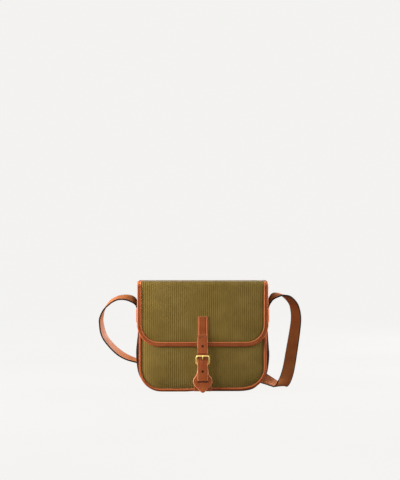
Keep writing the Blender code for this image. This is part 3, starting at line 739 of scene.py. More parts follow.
def body_panel(name, side, top):
    """A canvas panel of the body, full in the middle and falling back to the seam. side is -1 for the front."""
    inset = PIPING_WIDTH - 2.2 * MM
    half, radius = BODY_HALF - inset, BODY_CORNER - inset
    length = top - BODY_BOTTOM - inset
    x, s = canvas_sheet(half, length, 0.0, radius)
    up = length - s
    z = top - s
    d = edge_distance(x, up, half, radius) - 2.2 * MM
    fall = panel_fall(d)
    crown = 0.35 * MM * ease(d / (45 * MM)) + 0.5 * MM * ease((74 * MM - z) / (30 * MM)) * ease(d / (30 * MM))
    crown *= ease((np.abs(x) - 15 * MM) / (18 * MM)) * 0.8 + 0.2
    sag = 0.35 * MM * wobble(x, z, 0, 22, 5.0 + side) * ease(d / (12 * MM))
    out = crown - fall + np.minimum(sag, 0.1 * MM) + ribs(x, s)
    if side < 0:
        out = np.where(z > 78 * MM, np.minimum(out, 0.45 * MM), out)
    low = z - sag_below(x, z)
    outer = points_at(x, side * (BODY_FACE + out), low)
    inner = points_at(x, side * (BODY_FACE + np.minimum(out, 0) - 1.6 * MM + fall * 0.25), low)
    shape = Shape()
    shape.slab(outer, inner, points_at(x, s))
    shape.make(name + "_cloth", CANVAS, "bag", "canvas", 60, [name])


def sag_below(x, z):
    """How far the body's lower edge hangs below its drawn line: a little on the left; the right corner is up."""
    left = 1.9 * MM * ease((-x + 5 * MM) / (40 * MM)) * ease((60 * MM - z) / (50 * MM))
    return left - corner_raise(x, z)


def corner_raise(x, z):
    """How far the lower right corner is drawn up."""
    return 1.1 * MM * ease((x - 62 * MM) / (22 * MM)) * ease((45 * MM - z) / (30 * MM))


def body_piping(name, side):
    """The leather edging sewn round a panel, with the seam's stitches beside it."""
    route, normals = u_route(
        BODY_HALF - PIPING_WIDTH / 2, BODY_BOTTOM + PIPING_WIDTH / 2, BODY_TOP, BODY_CORNER - PIPING_WIDTH / 2,
        3 * MM,
    )
    low = route[:, 1] - sag_below(route[:, 0], route[:, 1])
    centres = points_at(route[:, 0], side * (BODY_FACE - 3.4 * MM), low)
    pucker = 1 + 0.03 * wobble(route[:, 0], route[:, 1], side, 90, 2.0)
    away = points_at(normals[:, 0], 0.0, normals[:, 1])
    forward = np.array([0.0, side, 0.0])
    tilt = math.radians(32)
    across = away * math.cos(tilt) - forward * math.sin(tilt)
    out = forward * math.cos(tilt) + away * math.sin(tilt)
    profile = roll(PIPING_WIDTH, 2.4 * MM, 1.6 * MM)
    marks = [0.5, 0.35, 0.1, 0, 0, 0, 0.1, 0.3, 0.5] + [0.3] * 4
    shape = Shape()
    shape.tube(centres, across, out, profile, marks=marks, scale=pucker)
    shape.make(name, BINDING, "bag", "binding_leather", 50, [name.replace("_leather", "")])
    stitches = Shape()
    inset = PIPING_WIDTH + 1.0 * MM
    seam, _ = u_route(BODY_HALF - inset, BODY_BOTTOM + inset, BODY_TOP - 12 * MM, BODY_CORNER - inset, 3.4 * MM)
    depth = BODY_FACE - panel_fall(1.0 * MM) + 0.1 * MM
    seam[:, 1] -= sag_below(seam[:, 0], seam[:, 1])
    places = points_at(seam[:, 0], side * depth, seam[:, 1])
    stitches.seam(places, (0, side, 0), 0.14, 0.32 * MM, 0.2 * MM)
    stitches.make(name.replace("_leather", "_stitches"), THREAD_OLIVE, "bag", "canvas", 60)


def mouth_binding():
    """Leather folded over the front panel's upper edge."""
    half, middle_y, middle_z = BODY_HALF - PIPING_WIDTH - 0.3 * MM, -31.7 * MM, 182.5 * MM
    sewn_y, sewn_z = middle_y - 1.05 * MM, middle_z - 2.9 * MM
    xs = steps(-half, half, 4 * MM)
    centres = points_at(xs, middle_y + 0.12 * MM * wobble(xs, 0, 0, 60, 7.0), middle_z)
    profile = [
        (-4.5, -1.0), (-4.4, -1.2), (-3.6, -1.2), (-2.9, -1.0), (-2.2, -1.2), (1.5, -1.2), (3.4, -1.15), (4.2, -0.8),
        (4.5, -0.1), (4.2, 0.7), (3.4, 1.1), (1.5, 1.2), (-2.2, 1.2), (-3.6, 1.2), (-4.4, 1.2), (-4.5, 1.0),
    ]
    marks = [0.6, 0.5, 0.1, 0.1, 0, 0, 0.1, 0.3, 0.4, 0.3, 0.1, 0, 0, 0.1, 0.5, 0.6]
    shape = Shape()
    shape.tube(centres, (0, 0, 1), (0, 1, 0), scaled(profile), marks=marks)
    shape.make("front_top_binding_leather", BINDING, "bag", "binding_leather", 50, ["front_top_binding"])
    stitches = Shape()
    starts = points_at(steps(-half + 3 * MM, half - 3 * MM, 3.2 * MM)[:-1], sewn_y, sewn_z)
    stitches.row(starts, (2.4 * MM, 0, 0), (0, -1, 0), 0.3 * MM)
    stitches.make("front_top_stitches", THREAD, "bag", "binding_leather", 60)


def gusset_cloth():
    """The band round the sides and bottom, slack between its seams."""
    half_depth, flat = 28.3 * MM, 22 * MM
    route, normals = u_route(BODY_HALF, BODY_BOTTOM, BODY_TOP - 1 * MM, BODY_CORNER, 3 * MM)
    ys = steps(-half_depth, half_depth, 1.5 * MM)
    x, y, z = np.broadcast_arrays(route[:, :1], ys[None], route[:, 1:])
    z = z + corner_raise(x, z)
    nx, nz = normals[:, :1], normals[:, 1:]
    fullest, spread = 65 * MM, 28 * MM  # the height at which the sides bulge most, and over how much of them
    side = 1.9 * MM + 3.2 * MM * bell(z - fullest, spread)
    swell = nx ** 2 * side + 2.5 * MM * ease((-nz - 0.72) / 0.25)
    share = np.minimum(1, (half_depth - np.abs(y)) / (half_depth - flat * 0.75))
    swell = swell * ease(share)
    crease = wobble(x * 0.4, y, z, 45, 4.0) * 0.7 * MM + wobble(x, y * 2.2, z * 0.7, 110, 8.0) * 0.25 * MM
    low = ease((z - 14 * MM) / (20 * MM))
    crease = np.minimum(crease, 0.3 * MM) * ease(share * 1.2) * low
    weave = 0.03 * MM * np.cos(y * math.tau / (2.2 * MM))
    out = swell + crease + weave
    length = travelled(route)[:, None]
    outer = points_at(x + nx * out, y, z + nz * out)
    inner = points_at(x + nx * (out - 1.2 * MM), y, z + nz * (out - 1.2 * MM))
    shape = Shape()
    shape.slab(outer, inner, points_at(ys[None], length))
    shape.make("gusset_cloth", GUSSET, "bag", "gusset_fabric", 60, ["gusset"])
    hem, stitches, hem_z, sewn_z = Shape(), Shape(), 182.4 * MM, 179.8 * MM
    profile = scaled([(-3.6, -0.9), (-3.4, 1.0), (0, 1.1), (3.2, 1.0), (3.7, 0.1), (3.2, -0.9)])
    for sign, edge in ((-1, out[0]), (1, out[-1])):
        path = steps(-27.6 * MM, 27.6 * MM, 2 * MM)
        centres = points_at(sign * (BODY_HALF + np.interp(path, ys, edge) - 0.6 * MM), path, hem_z)
        hem.tube(centres, (0, 0, 1), (sign, 0, 0), profile)
        path = steps(-26 * MM, 24 * MM, 3 * MM)
        starts = points_at(sign * (BODY_HALF + np.interp(path, ys, edge) + 0.45 * MM), path, sewn_z)
        stitches.row(starts, (0, 2.2 * MM, 0), (sign, 0, 0), 0.28 * MM)
    hem.make("gusset_hem", GUSSET, "bag", "gusset_fabric", 50)
    stitches.make("gusset_hem_stitches", THREAD_BLACK, "bag", "gusset_fabric", 60)


def lining_bag():
    """The cloth bag inside: front, back and the band between them."""
    half, bottom, top, radius, deep = 110.3 * MM, 6.6 * MM, 184 * MM, 37 * MM, 28.2 * MM
    thick = 0.8 * MM
    shape = Shape()
    length = top - bottom
    x, s = canvas_sheet(half, length, 0.0, radius, 4 * MM, length / 46.5)
    z = top - s
    d = edge_distance(x, length - s, half, radius)
    for side in (-1, 1):
        slack = wobble(x, z * 0.6, side, 28, 6.0) * 0.8 * MM + wobble(x, z, side, 75, 1.0) * 0.25 * MM
        slack = np.clip(slack, -1.0 * MM, 0.0) * ease(d / (14 * MM))
        y = side * (deep + slack)
        outer = points_at(x, y, z)
        inner = points_at(x, y - side * thick, z)
        shape.slab(outer, inner, points_at(x, s))
    route, normals = u_route(half, bottom, top, radius, 5 * MM)
    ys = steps(-deep + 0.1 * MM, deep - 0.1 * MM, 3 * MM)
    length = travelled(route)[:, None]
    slack = np.minimum(0, wobble(route[:, :1], ys[None], route[:, 1:], 40, 2.0)) * 0.9 * MM
    slack = slack * ease((deep - np.abs(ys[None])) / (8 * MM))
    outer, inner = (
        points_at(route[:, :1] + normals[:, :1] * out, ys[None], route[:, 1:] + normals[:, 1:] * out)
        for out in (slack, slack - thick)
    )
    shape.slab(outer, inner, points_at(ys[None], length))
    shape.make("lining_bag", LINING, "bag", "lining_cloth", 60, ["lining"])


def pocket():
    """A slip pocket on the back wall, with a turned hem and sewn edges."""
    low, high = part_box("inner_pocket")
    half, bottom, top, radius = high.x, low.z, high.z, 10 * MM
    y_wall = high.y + 0.1 * MM
    x, s = canvas_sheet(half, top - bottom, 0.0, radius, 3 * MM, 3 * MM)
    z = top - s
    d = edge_distance(x, top - bottom - s, half, radius)
    gape = 1.6 * MM * ease((z - top + 40 * MM) / (40 * MM)) * ease(d / (30 * MM))
    puff = wobble(x, z, 0, 35, 11.0) * 0.4 * MM * ease(d / (10 * MM)) + gape
    hem = np.where(s < 12 * MM, 0.45 * MM, 0.0)
    out = 0.9 * MM + np.maximum(puff, -0.2 * MM)
    outer = points_at(x, y_wall - out - hem, z)
    inner = points_at(x, y_wall - out + 0.8 * MM, z)
    shape = Shape()
    shape.slab(outer, inner, points_at(x, s))
    shape.make("inner_pocket_cloth", LINING, "bag", "lining_cloth", 60, ["inner_pocket"])
    stitches = Shape()
    route, _ = u_route(half - 2 * MM, bottom + 2 * MM, top - 2 * MM, radius - 2 * MM, 3.2 * MM)
    stitches.seam(points_at(route[:, 0], y_wall - 1.0 * MM, route[:, 1]), (0, -1, 0), 0.15, 0.28 * MM)
    stitches.make("inner_pocket_stitches", THREAD_OLIVE, "bag", "lining_cloth", 60)


body_panel("front_panel", -1, 182 * MM)
body_panel("back_panel", 1, BODY_TOP)
body_piping("front_piping_leather", -1)
body_piping("back_piping_leather", 1)
mouth_binding()
gusset_cloth()
lining_bag()
pocket()


# ---------------------------------------------------------------- flap
FLAP_HALF = 115 * MM
FLAP_BOTTOM = 80.4 * MM
FLAP_CORNER = 38.5 * MM
BINDING_WIDTH = 8 * MM
FLAP_UNDER = 191.6 * MM
FLAP_INNER = -33.4 * MM
# The flap's inner face in the side view: up the back panel, over the mouth and down the front.
FLAP_PATH = Path(
    [(33.2 * MM, 168 * MM), (33.2 * MM, FLAP_UNDER), (FLAP_INNER, FLAP_UNDER), (FLAP_INNER, FLAP_BOTTOM)],
    [3.0 * MM, 2.4 * MM],
)
ROOF_MIDDLE = 23.6 * MM + 33.2 * MM  # about half way over the mouth
FRONT_BEND = 88.3 * MM  # where the flap turns down over the front
REAR_BLEND = ("bag", "flap_top", (0, 0.036, 0.180), (0, 0.016, 0.195))
FRONT_BLEND = ("flap_top", "flap_front", (0, -0.022, 0.195), (0, -0.036, 0.176))


def flap_height(x, s):
    """How far out the canvas's outer face is from the flap's inner line: it dips beside the binding."""
    edge_half = FLAP_HALF - BINDING_WIDTH
    d = edge_distance(x, FLAP_PATH.total - BINDING_WIDTH - s, edge_half, FLAP_CORNER - BINDING_WIDTH)
    d = np.maximum(d, 0)
    dip = 1.0 * MM * bell(d, 1.5 * MM) + 0.35 * MM * bell(d, 7 * MM)
    front = ease((s - 85 * MM) / (25 * MM))
    dip = dip * (0.25 + 0.75 * ease((s - 90 * MM) / (14 * MM)))
    top = 0.4 * MM * (1 - ease((s - 92 * MM) / (12 * MM)))
    full = 0.45 * MM * ease(d / (38 * MM)) * front
    slack = 0.22 * MM * wobble(x, s, 0, 20, 12.0) * ease(d / (12 * MM)) * front
    return 2.55 * MM - dip + full + slack + top


def flap_sheets():
    """Canvas and lining, each in a rear and a front part that meet half way over the mouth."""
    half = FLAP_HALF - BINDING_WIDTH + 2 * MM
    radius = FLAP_CORNER - BINDING_WIDTH + 2 * MM
    bottom = FLAP_PATH.total - BINDING_WIDTH + 2 * MM
    parts = (("rear", "flap_top", 0.0, REAR_BLEND), ("front", "flap_front", ROOF_MIDDLE, FRONT_BLEND))

    def sheet(name, start, spacing, row):
        if name == "front":
            return canvas_sheet(half, bottom, start, radius, spacing, row)
        return np.broadcast_arrays(steps(-half, half, spacing)[None], steps(start, ROOF_MIDDLE, row)[:, None])

    for name, node, start, bend in parts:
        x, s = sheet(name, start, 0.6 * MM, 1.8 * MM)
        high = flap_height(x, s) + ribs(x, s)
        shape = Shape()
        shape.slab(FLAP_PATH.place(x, s, high), FLAP_PATH.place(x, s, high - 1.5 * MM), points_at(x, s))
        shape.make("flap_canvas_" + name, CANVAS, bend, "canvas", 60, [node + "_canvas"])
        x, s = sheet(name, max(start, 3 * MM), 3 * MM, 1.5 * MM)
        high = 0.55 * MM + 0.15 * MM * wobble(x, s, 0, 50, 15.0)
        shape = Shape()
        shape.slab(FLAP_PATH.place(x, s, high), FLAP_PATH.place(x, s, high - 0.5 * MM), points_at(x, s))
        shape.make("flap_lining_" + name, LINING, bend, "lining_cloth", 60, [node + "_lining"])


# The binding's section in mm: across from the flap's edge (0) to its inner edge (8), and out from the flap's inner
# face. The outer face has a sewn groove between two soft ridges.
BINDING_SECTION = (
    (0.0, 1.5), (0.1, 2.1), (0.5, 2.6), (1.2, 3.0), (2.0, 3.3), (2.8, 3.35), (3.5, 3.0), (4.1, 2.7), (4.6, 2.95),
    (5.1, 3.3), (5.7, 3.45), (6.5, 3.4), (7.2, 3.25), (7.7, 2.9), (7.95, 2.3), (7.9, 1.5), (7.6, 0.5), (7.2, 0.05),
    (5.0, 0.0), (4.0, 0.25), (3.0, 0.0), (1.0, 0.0), (0.4, 0.3), (0.1, 0.9),
)
BINDING_MARKS = (
    0.75, 0.7, 0.5, 0.2, 0.0, 0.0, 0.0, 0.0, 0.0, 0.0, 0.15, 0.3, 0.45, 0.6, 0.5, 0.2, 0.1, 0.0,
    0.0, 0.0, 0.0, 0.1, 0.3, 0.6,
)
GROOVE = (4.1 * MM, 2.78 * MM)


def binding_route(start, end, inset, spacing):
    """Pairs of pattern points (x, s) and their outward directions: down the left edge and up the right, in one run
    round the lower edge where end is the flap's own."""
    half = FLAP_HALF - inset
    if end < FLAP_PATH.total:
        down = steps(start, end, spacing)
        return [(points_at(-half, down), (-1.0, 0.0)), (points_at(half, down[::-1]), (1.0, 0.0))]
    route, normals = u_route(half, inset, FLAP_PATH.total - start, FLAP_CORNER - inset, spacing)
    return [(points_at(route[:, 0], FLAP_PATH.total - route[:, 1]), points_at(normals[:, 0], -normals[:, 1]))]


def flap_binding():
    """Leather folded round the flap's edge, with its stitches, in a rear and a front part."""
    parts = (
        ("rear", 0.0, ROOF_MIDDLE, REAR_BLEND, ["flap_top_binding_left", "flap_top_binding_right"]),
        ("front", ROOF_MIDDLE, FLAP_PATH.total, FRONT_BLEND, ["flap_front_binding"]),
    )
    marks = np.array(BINDING_MARKS + BINDING_MARKS[:1])
    around = np.array(BINDING_SECTION + BINDING_SECTION[:1]) * MM
    lengths = travelled(around)
    for name, start, end, bend, stands in parts:
        leather_shape, stitches = Shape(), Shape()
        for route, out in binding_route(start, end, 0.0, 1.6 * MM):
            out = np.broadcast_to(out, route.shape)
            x = route[:, :1] - out[:, :1] * around[None, :, 0]
            s = route[:, 1:] - out[:, 1:] * around[None, :, 0]
            waver = 1 + 0.05 * wobble(route[:, :1], route[:, 1:], 0, 60, 6.0)
            high = around[None, :, 1] * waver
            ridge = np.clip(around[None, :, 1] - 2.5 * MM, 0, 1)
            flat = 0.35 * ease((s - FLAP_PATH.total + 55 * MM) / (40 * MM))
            thin = 0.3 * MM * (1 - ease((s - 92 * MM) / (12 * MM)))
            high = high - flat * ridge - thin * (high > 2 * MM)
            uvs = points_at(lengths[None], travelled(route)[:, None])
            rings = FLAP_PATH.place(x, s, high)
            # The binding is drawn lighter in a band along the fold over the front.
            lightened = 0.85 * bell(s - FRONT_BEND, 3.4 * MM)
            leather_shape.grid(rings, uvs, np.maximum(marks[None], lightened))
            leather_shape.cap(rings[0][:-1], uvs[0][:-1])
            leather_shape.cap(rings[-1][:-1], uvs[-1][:-1])
        for seam, _ in binding_route(start, end, GROOVE[0], 3.2 * MM):
            places = FLAP_PATH.place(seam[:, 0], seam[:, 1], GROOVE[1])
            for k, middle in enumerate((seam[:-1, 1] + seam[1:, 1]) / 2):
                stitches.seam(places[k:k + 2], FLAP_PATH.out(middle), 0.12, 0.34 * MM, 0.2 * MM)
        leather_shape.make("flap_binding_" + name, BINDING, bend, "binding_leather", 45, stands)
        stitches.make("flap_binding_stitches_" + name, THREAD, bend, "binding_leather", 60)


def flap_seam():
    """Where the flap is sewn to the back panel: a leather strip over its end and two rows of stitches."""
    middle_y, middle_z, sewn_y = 35.3 * MM, 168.5 * MM, 36.5 * MM
    xs = steps(-FLAP_HALF, FLAP_HALF, 4 * MM)
    section = [
        (-6.5, 0.2), (-6.4, 0.9), (-5.8, 1.3), (-4.6, 1.35), (-4.0, 1.1), (-3.4, 1.35), (3.4, 1.35), (4.0, 1.1),
        (4.6, 1.35), (5.8, 1.3), (6.4, 0.9), (6.5, 0.2), (6.0, -1.2), (-6.0, -1.2),
    ]
    marks = [0.6, 0.6, 0.3, 0, 0, 0, 0, 0, 0, 0.3, 0.6, 0.6, 0, 0]
    centres = points_at(xs, middle_y + 0.15 * MM * wobble(xs, 0, 0, 45, 17.0), middle_z)
    shape = Shape()
    shape.tube(centres, (0, 0, 1), (0, 1, 0), scaled(section), marks=marks)
    shape.make("flap_seam_strip", BINDING, "bag", "binding_leather", 45)
    stitches = Shape()
    for z in (middle_z - 4 * MM, middle_z + 4 * MM):
        starts = points_at(steps(3 * MM - FLAP_HALF, FLAP_HALF - 3 * MM, 3.2 * MM)[:-1], sewn_y, z)
        stitches.row(starts, (2.4 * MM, 0, 0), (0, 1, 0), 0.34 * MM)
    stitches.make("flap_seam_stitches", THREAD, "bag", "binding_leather", 60)


flap_sheets()
flap_binding()
flap_seam()


# ---------------------------------------------------------------- leather plates
def spread_columns(count):
    """Values from -1 to 1, closer together towards both ends."""
    t = np.linspace(-1, 1, count)
    return np.sign(t) * (1 - (1 - np.abs(t)) ** 1.5)


def end_rows(start, end, spacing, edge=1.2 * MM):
    """Values from start to end, closer together within edge of both ends."""
    near = edge * np.array([0, 0.05, 0.15, 0.3, 0.5, 0.75])
    return np.concatenate([start + near, steps(start + edge, end - edge, spacing), (end - near)[::-1]])


def plate(shape, place, rows, half_width, thick, corner, relief, columns, worn=0.9 * MM, painted_shade=None, lightened=None):
    """A leather plate in its own flat space: u across, v along, h out from its inner face, and d in from its edge.
    Its edges are rounded, and place turns (u, v, h) into points. relief adds to its height, worn is how wide its
    light edge is, lightened gives more marks that make it lighter, and painted_shade gives painted shade."""
    half = np.array([half_width(v) for v in rows])
    slope = np.gradient(half, rows)
    v = np.broadcast_to(rows[:, None], (len(rows), columns))
    u = half[:, None] * spread_columns(columns)[None]
    side = (half[:, None] - np.abs(u)) / np.sqrt(1 + slope[:, None] ** 2)
    d = np.minimum(side, np.minimum(v - rows[0], rows[-1] - v))
    thickness = thick(v) if callable(thick) else thick
    bend = np.clip(d, 0, corner)
    high = thickness - corner + np.sqrt(np.maximum(corner ** 2 - (corner - bend) ** 2, 0)) + relief(u, v, d)
    under = 0.3 * MM * (1 - np.clip(d / (0.4 * MM), 0, 1)) ** 2
    marks = 1 - np.clip(d / worn, 0, 1)
    if lightened is not None:
        marks = np.maximum(marks, lightened(u, v))
    # painted_shade gives the painted shade that leather() darkens by
    painted_shades = 0.0 if painted_shade is None else painted_shade(u, v)
    shape.slab(place(u, v, high), place(u, v, under), points_at(u, v), marks, 1.0, painted_shades)


def smooth_line(points, per=6):
    """A smooth line through (a, b) points, with per points to each of its parts."""
    points = [np.array(p, float) for p in points]
    line = []
    last = len(points) - 1
    for i in range(last):
        picked = [max(0, i - 1), i, i + 1, min(last, i + 2)]
        line.extend(catmull(*(points[k] for k in picked), step / per) for step in range(per))
    line.append(points[-1])
    return np.array(line)


def cutter(name, shape):
    """A solid that a piece is cut with. cut() removes it again."""
    mesh = shape.mesh(name)
    weld(mesh)
    return link(name, mesh)


def cut(piece, tools):
    """Cuts tools out of piece and keeps the result as its mesh."""
    for tool in tools:
        modifier = piece.modifiers.new(tool.name, "BOOLEAN")
        modifier.operation = "DIFFERENCE"
        modifier.solver = "EXACT"
        modifier.object = tool
    bpy.context.view_layer.update()
    graph = bpy.context.evaluated_depsgraph_get()
    mesh = bpy.data.meshes.new_from_object(
        piece.evaluated_get(graph), preserve_all_data_layers=True, depsgraph=graph,
    )
    piece.modifiers.clear()
    piece.data = mesh
    for tool in tools:
        bpy.data.objects.remove(tool)


def punch(name, middle, direction, radius, length=12 * MM):
    """A round drill through middle."""
    direction = Vector(direction).normalized()
    side = direction.cross(Vector((1, 0, 0))).normalized()
    other = direction.cross(side)
    shape = Shape()
    centres = [Vector(middle) - direction * length / 2, Vector(middle) + direction * length / 2]
    shape.tube(centres, side, other, ring(radius, radius, 20))
    return cutter(name, shape)


def box_tool(name, low, high):
    """A box between two corners."""
    shape = Shape()
    (x0, y0, z0), (x1, y1, z1) = low, high
    shape.tube([(0, 0, z0), (0, 0, z1)], (1, 0, 0), (0, 1, 0), [(x0, y0), (x1, y0), (x1, y1), (x0, y1)])
    return cutter(name, shape)


# ---------------------------------------------------------------- closure
STRAP_HALF = 8.95 * MM
STRAP_THICK = 2.0 * MM
SLEEVE_LOW, SLEEVE_HIGH, SLEEVE_HALF = 95.95 * MM, 133.05 * MM, 8.9 * MM
BUCKLE_AXIS = Vector((0, -36.85 * MM, 50.3 * MM))
TOP_BAR = Vector((0, -43.3 * MM, 64.4 * MM))
STRAP_END = 20.4 * MM
STRAP_HOLES = (81.2 * MM, 37.3 * MM)
PRONG_HOLE = 58.6 * MM


def rounded_half(start, end, half, corner):
    """Half width along v for a plate with rounded corners in its outline."""
    def at(v):
        room = min(v - start, end - v)
        if room >= corner:
            return half
        return half - corner + math.sqrt(max(corner ** 2 - (corner - max(room, 0)) ** 2, 0))
    return at


def sleeve():
    """The smooth patch over the strap's upper end, with a pressed line inside each long edge."""
    inner, sewn_y, tack_z = -36.25 * MM, -39.55 * MM, 98.3 * MM
    line_end = 99 * MM  # the pressed lines stop here, above the row of stitches

    def place(u, v, h):
        return points_at(u + 0.5 * MM, inner - h, v)

    def relief(u, v, d):
        side = SLEEVE_HALF - np.abs(u)
        line = 0.5 * MM * bell(side - 2.1 * MM, 0.6 * MM)
        groove = -0.3 * MM * bell(side - 3.4 * MM, 0.6 * MM)
        crown = 0.25 * MM * (1 - (u / SLEEVE_HALF) ** 2)
        over_strap = 1.65 * MM * ease((104 * MM - v) / (8 * MM))
        tack = -0.25 * MM * bell(v - tack_z, 0.6 * MM)
        return (line + groove) * ease((v - line_end) / (2 * MM)) * ease(d / (1.2 * MM)) + crown + over_strap + tack

    # The pressed lines inside the long edges are drawn lighter in colour.
    def lightened(u, v):
        side = SLEEVE_HALF - np.abs(u)
        return 0.75 * bell(side - 2.0 * MM, 0.6 * MM) * ease((v - line_end) / (2 * MM))

    shape = Shape()
    rows = end_rows(SLEEVE_LOW, SLEEVE_HIGH, 0.9 * MM)
    half = rounded_half(SLEEVE_LOW, SLEEVE_HIGH, SLEEVE_HALF, 0.9 * MM)
    plate(shape, place, rows, half, 1.75 * MM, 0.6 * MM, relief, 61, 0.4 * MM, lightened=lightened)
    piece = shape.make("strap_sleeve_leather", SLEEVE_LEATHER, "flap_front", "closure_leather", 50, ["strap_sleeve"])
    cut(piece, [punch("sleeve_hole", (0, -38 * MM, 98.4 * MM), (0, 1, 0), 0.95 * MM)])
    stitches = Shape()
    starts = points_at(np.array([-6.9, -5.2, -3.5, 2.1, 3.8, 5.5]) * MM, sewn_y, tack_z)
    stitches.row(starts, (1.3 * MM, 0, 0), (0, -1, 0), 0.32 * MM)
    stitches.make("strap_sleeve_stitches", THREAD, "flap_front", "closure_leather", 60)


BAR_SHADOW_LINES = ((67.9 * MM, 1.0 * MM), (62.2 * MM, 0.7 * MM))  # where dark lines are painted on the strap above and below the buckle's bar: painted shadow of the bar


def closure_strap():
    """The strap from inside the sleeve, through the buckle, to its tail over the tab. Its holes are cut through it,
    and then its place is baked into its points."""
    face = smooth_line([
        (103.0, -36.0), (99.0, -36.6), (95.6, -37.35), (88.0, -37.85), (80.4, -38.2), (72.0, -38.75), (64.4, -39.2),
        (57.0, -39.65), (50.3, -39.98), (42.0, -40.05), (30.0, -40.0), (20.4, -40.15),
    ])
    zs, ys = face[::-1, 0] * MM, face[::-1, 1] * MM

    def place(u, v, h):
        return points_at(u, np.interp(v, zs, ys) - h, v)

    def relief(u, v, d):
        bow = -0.16 * MM * (u / STRAP_HALF) ** 2
        pressed = 0
        for hole in (*STRAP_HOLES, PRONG_HOLE):
            pressed = pressed - 0.2 * MM * bell(np.hypot(u, v - hole), 1.9 * MM)
        pressed = pressed - 0.7 * MM * bell(np.hypot(u, v - STRAP_HOLES[0]), 1.3 * MM)
        bar = -0.15 * MM * bell(v - TOP_BAR.z, 1.6 * MM)
        over_prong = 0.4 * MM * bell(u, 2.6 * MM)
        over_prong = over_prong * ease((57 * MM - v) / (3 * MM)) * ease((v - 46 * MM) / (4 * MM))
        soft = 0.08 * MM * wobble(u, v, 0, 70, 21.0)
        return bow + pressed + bar + over_prong + soft

    top = 103.0 * MM
    shape = Shape()
    rows = end_rows(STRAP_END, top, 0.5 * MM)

    def half(v):
        tucked = 1 - 0.12 * float(ease((v - 96 * MM) / (3 * MM)))
        return rounded_half(STRAP_END, 2 * top, STRAP_HALF, 1.3 * MM)(v) * tucked

    def thick(v):
        return STRAP_THICK - 0.5 * MM * ease((v - 95 * MM) / (5 * MM))

    # Painted shade: dark painted in and round the holes, and the bar's shadow painted in lines above and below it.
    def painted_shade(u, v):
        dark = 0.0
        for hole in (*STRAP_HOLES, PRONG_HOLE):
            away = np.hypot(u, v - hole)
            dark = np.maximum(dark, ease((2.6 * MM - away) / (0.9 * MM)))
        for line, width in BAR_SHADOW_LINES:
            dark = np.maximum(dark, 0.85 * ease((width - np.abs(v - line)) / (0.5 * MM)))
        return dark

    plate(shape, place, rows, half, thick, 0.65 * MM, relief, 61, 0.8 * MM, painted_shade)
    piece = shape.make("closure_strap_leather", CLOSURE, None, "closure_leather", 50, ["closure_strap"])
    drills = [punch("hole", (0, -41 * MM, z), (0, 1, 0), r) for z, r in zip(STRAP_HOLES, (0.6 * MM, 1.6 * MM))]
    drills.append(punch("prong_hole", (0, -40.7 * MM, 58.7 * MM), (0, -0.76, 0.64), 1.7 * MM))
    drills.append(box_tool("prong_channel", (-1.6 * MM, -39.35 * MM, 48 * MM), (1.6 * MM, -36 * MM, 58.4 * MM)))
    cut(piece, drills)
    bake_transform(piece)


TAB_OUTLINE = (
    (1.4, 0.05), (3.4, 1.4), (5.5, 3.3), (9.6, 7.2), (14.0, 12.2), (16.2, 16.0), (17.0, 19.4), (16.7, 22.2),
    (15.5, 24.8), (13.5, 27.6), (11.5, 30.4), (10.2, 34.0), (9.6, 38.0), (9.3, 42.0), (9.2, 46.0), (9.2, 50.3),
)
TAB_FACE = -39.7 * MM


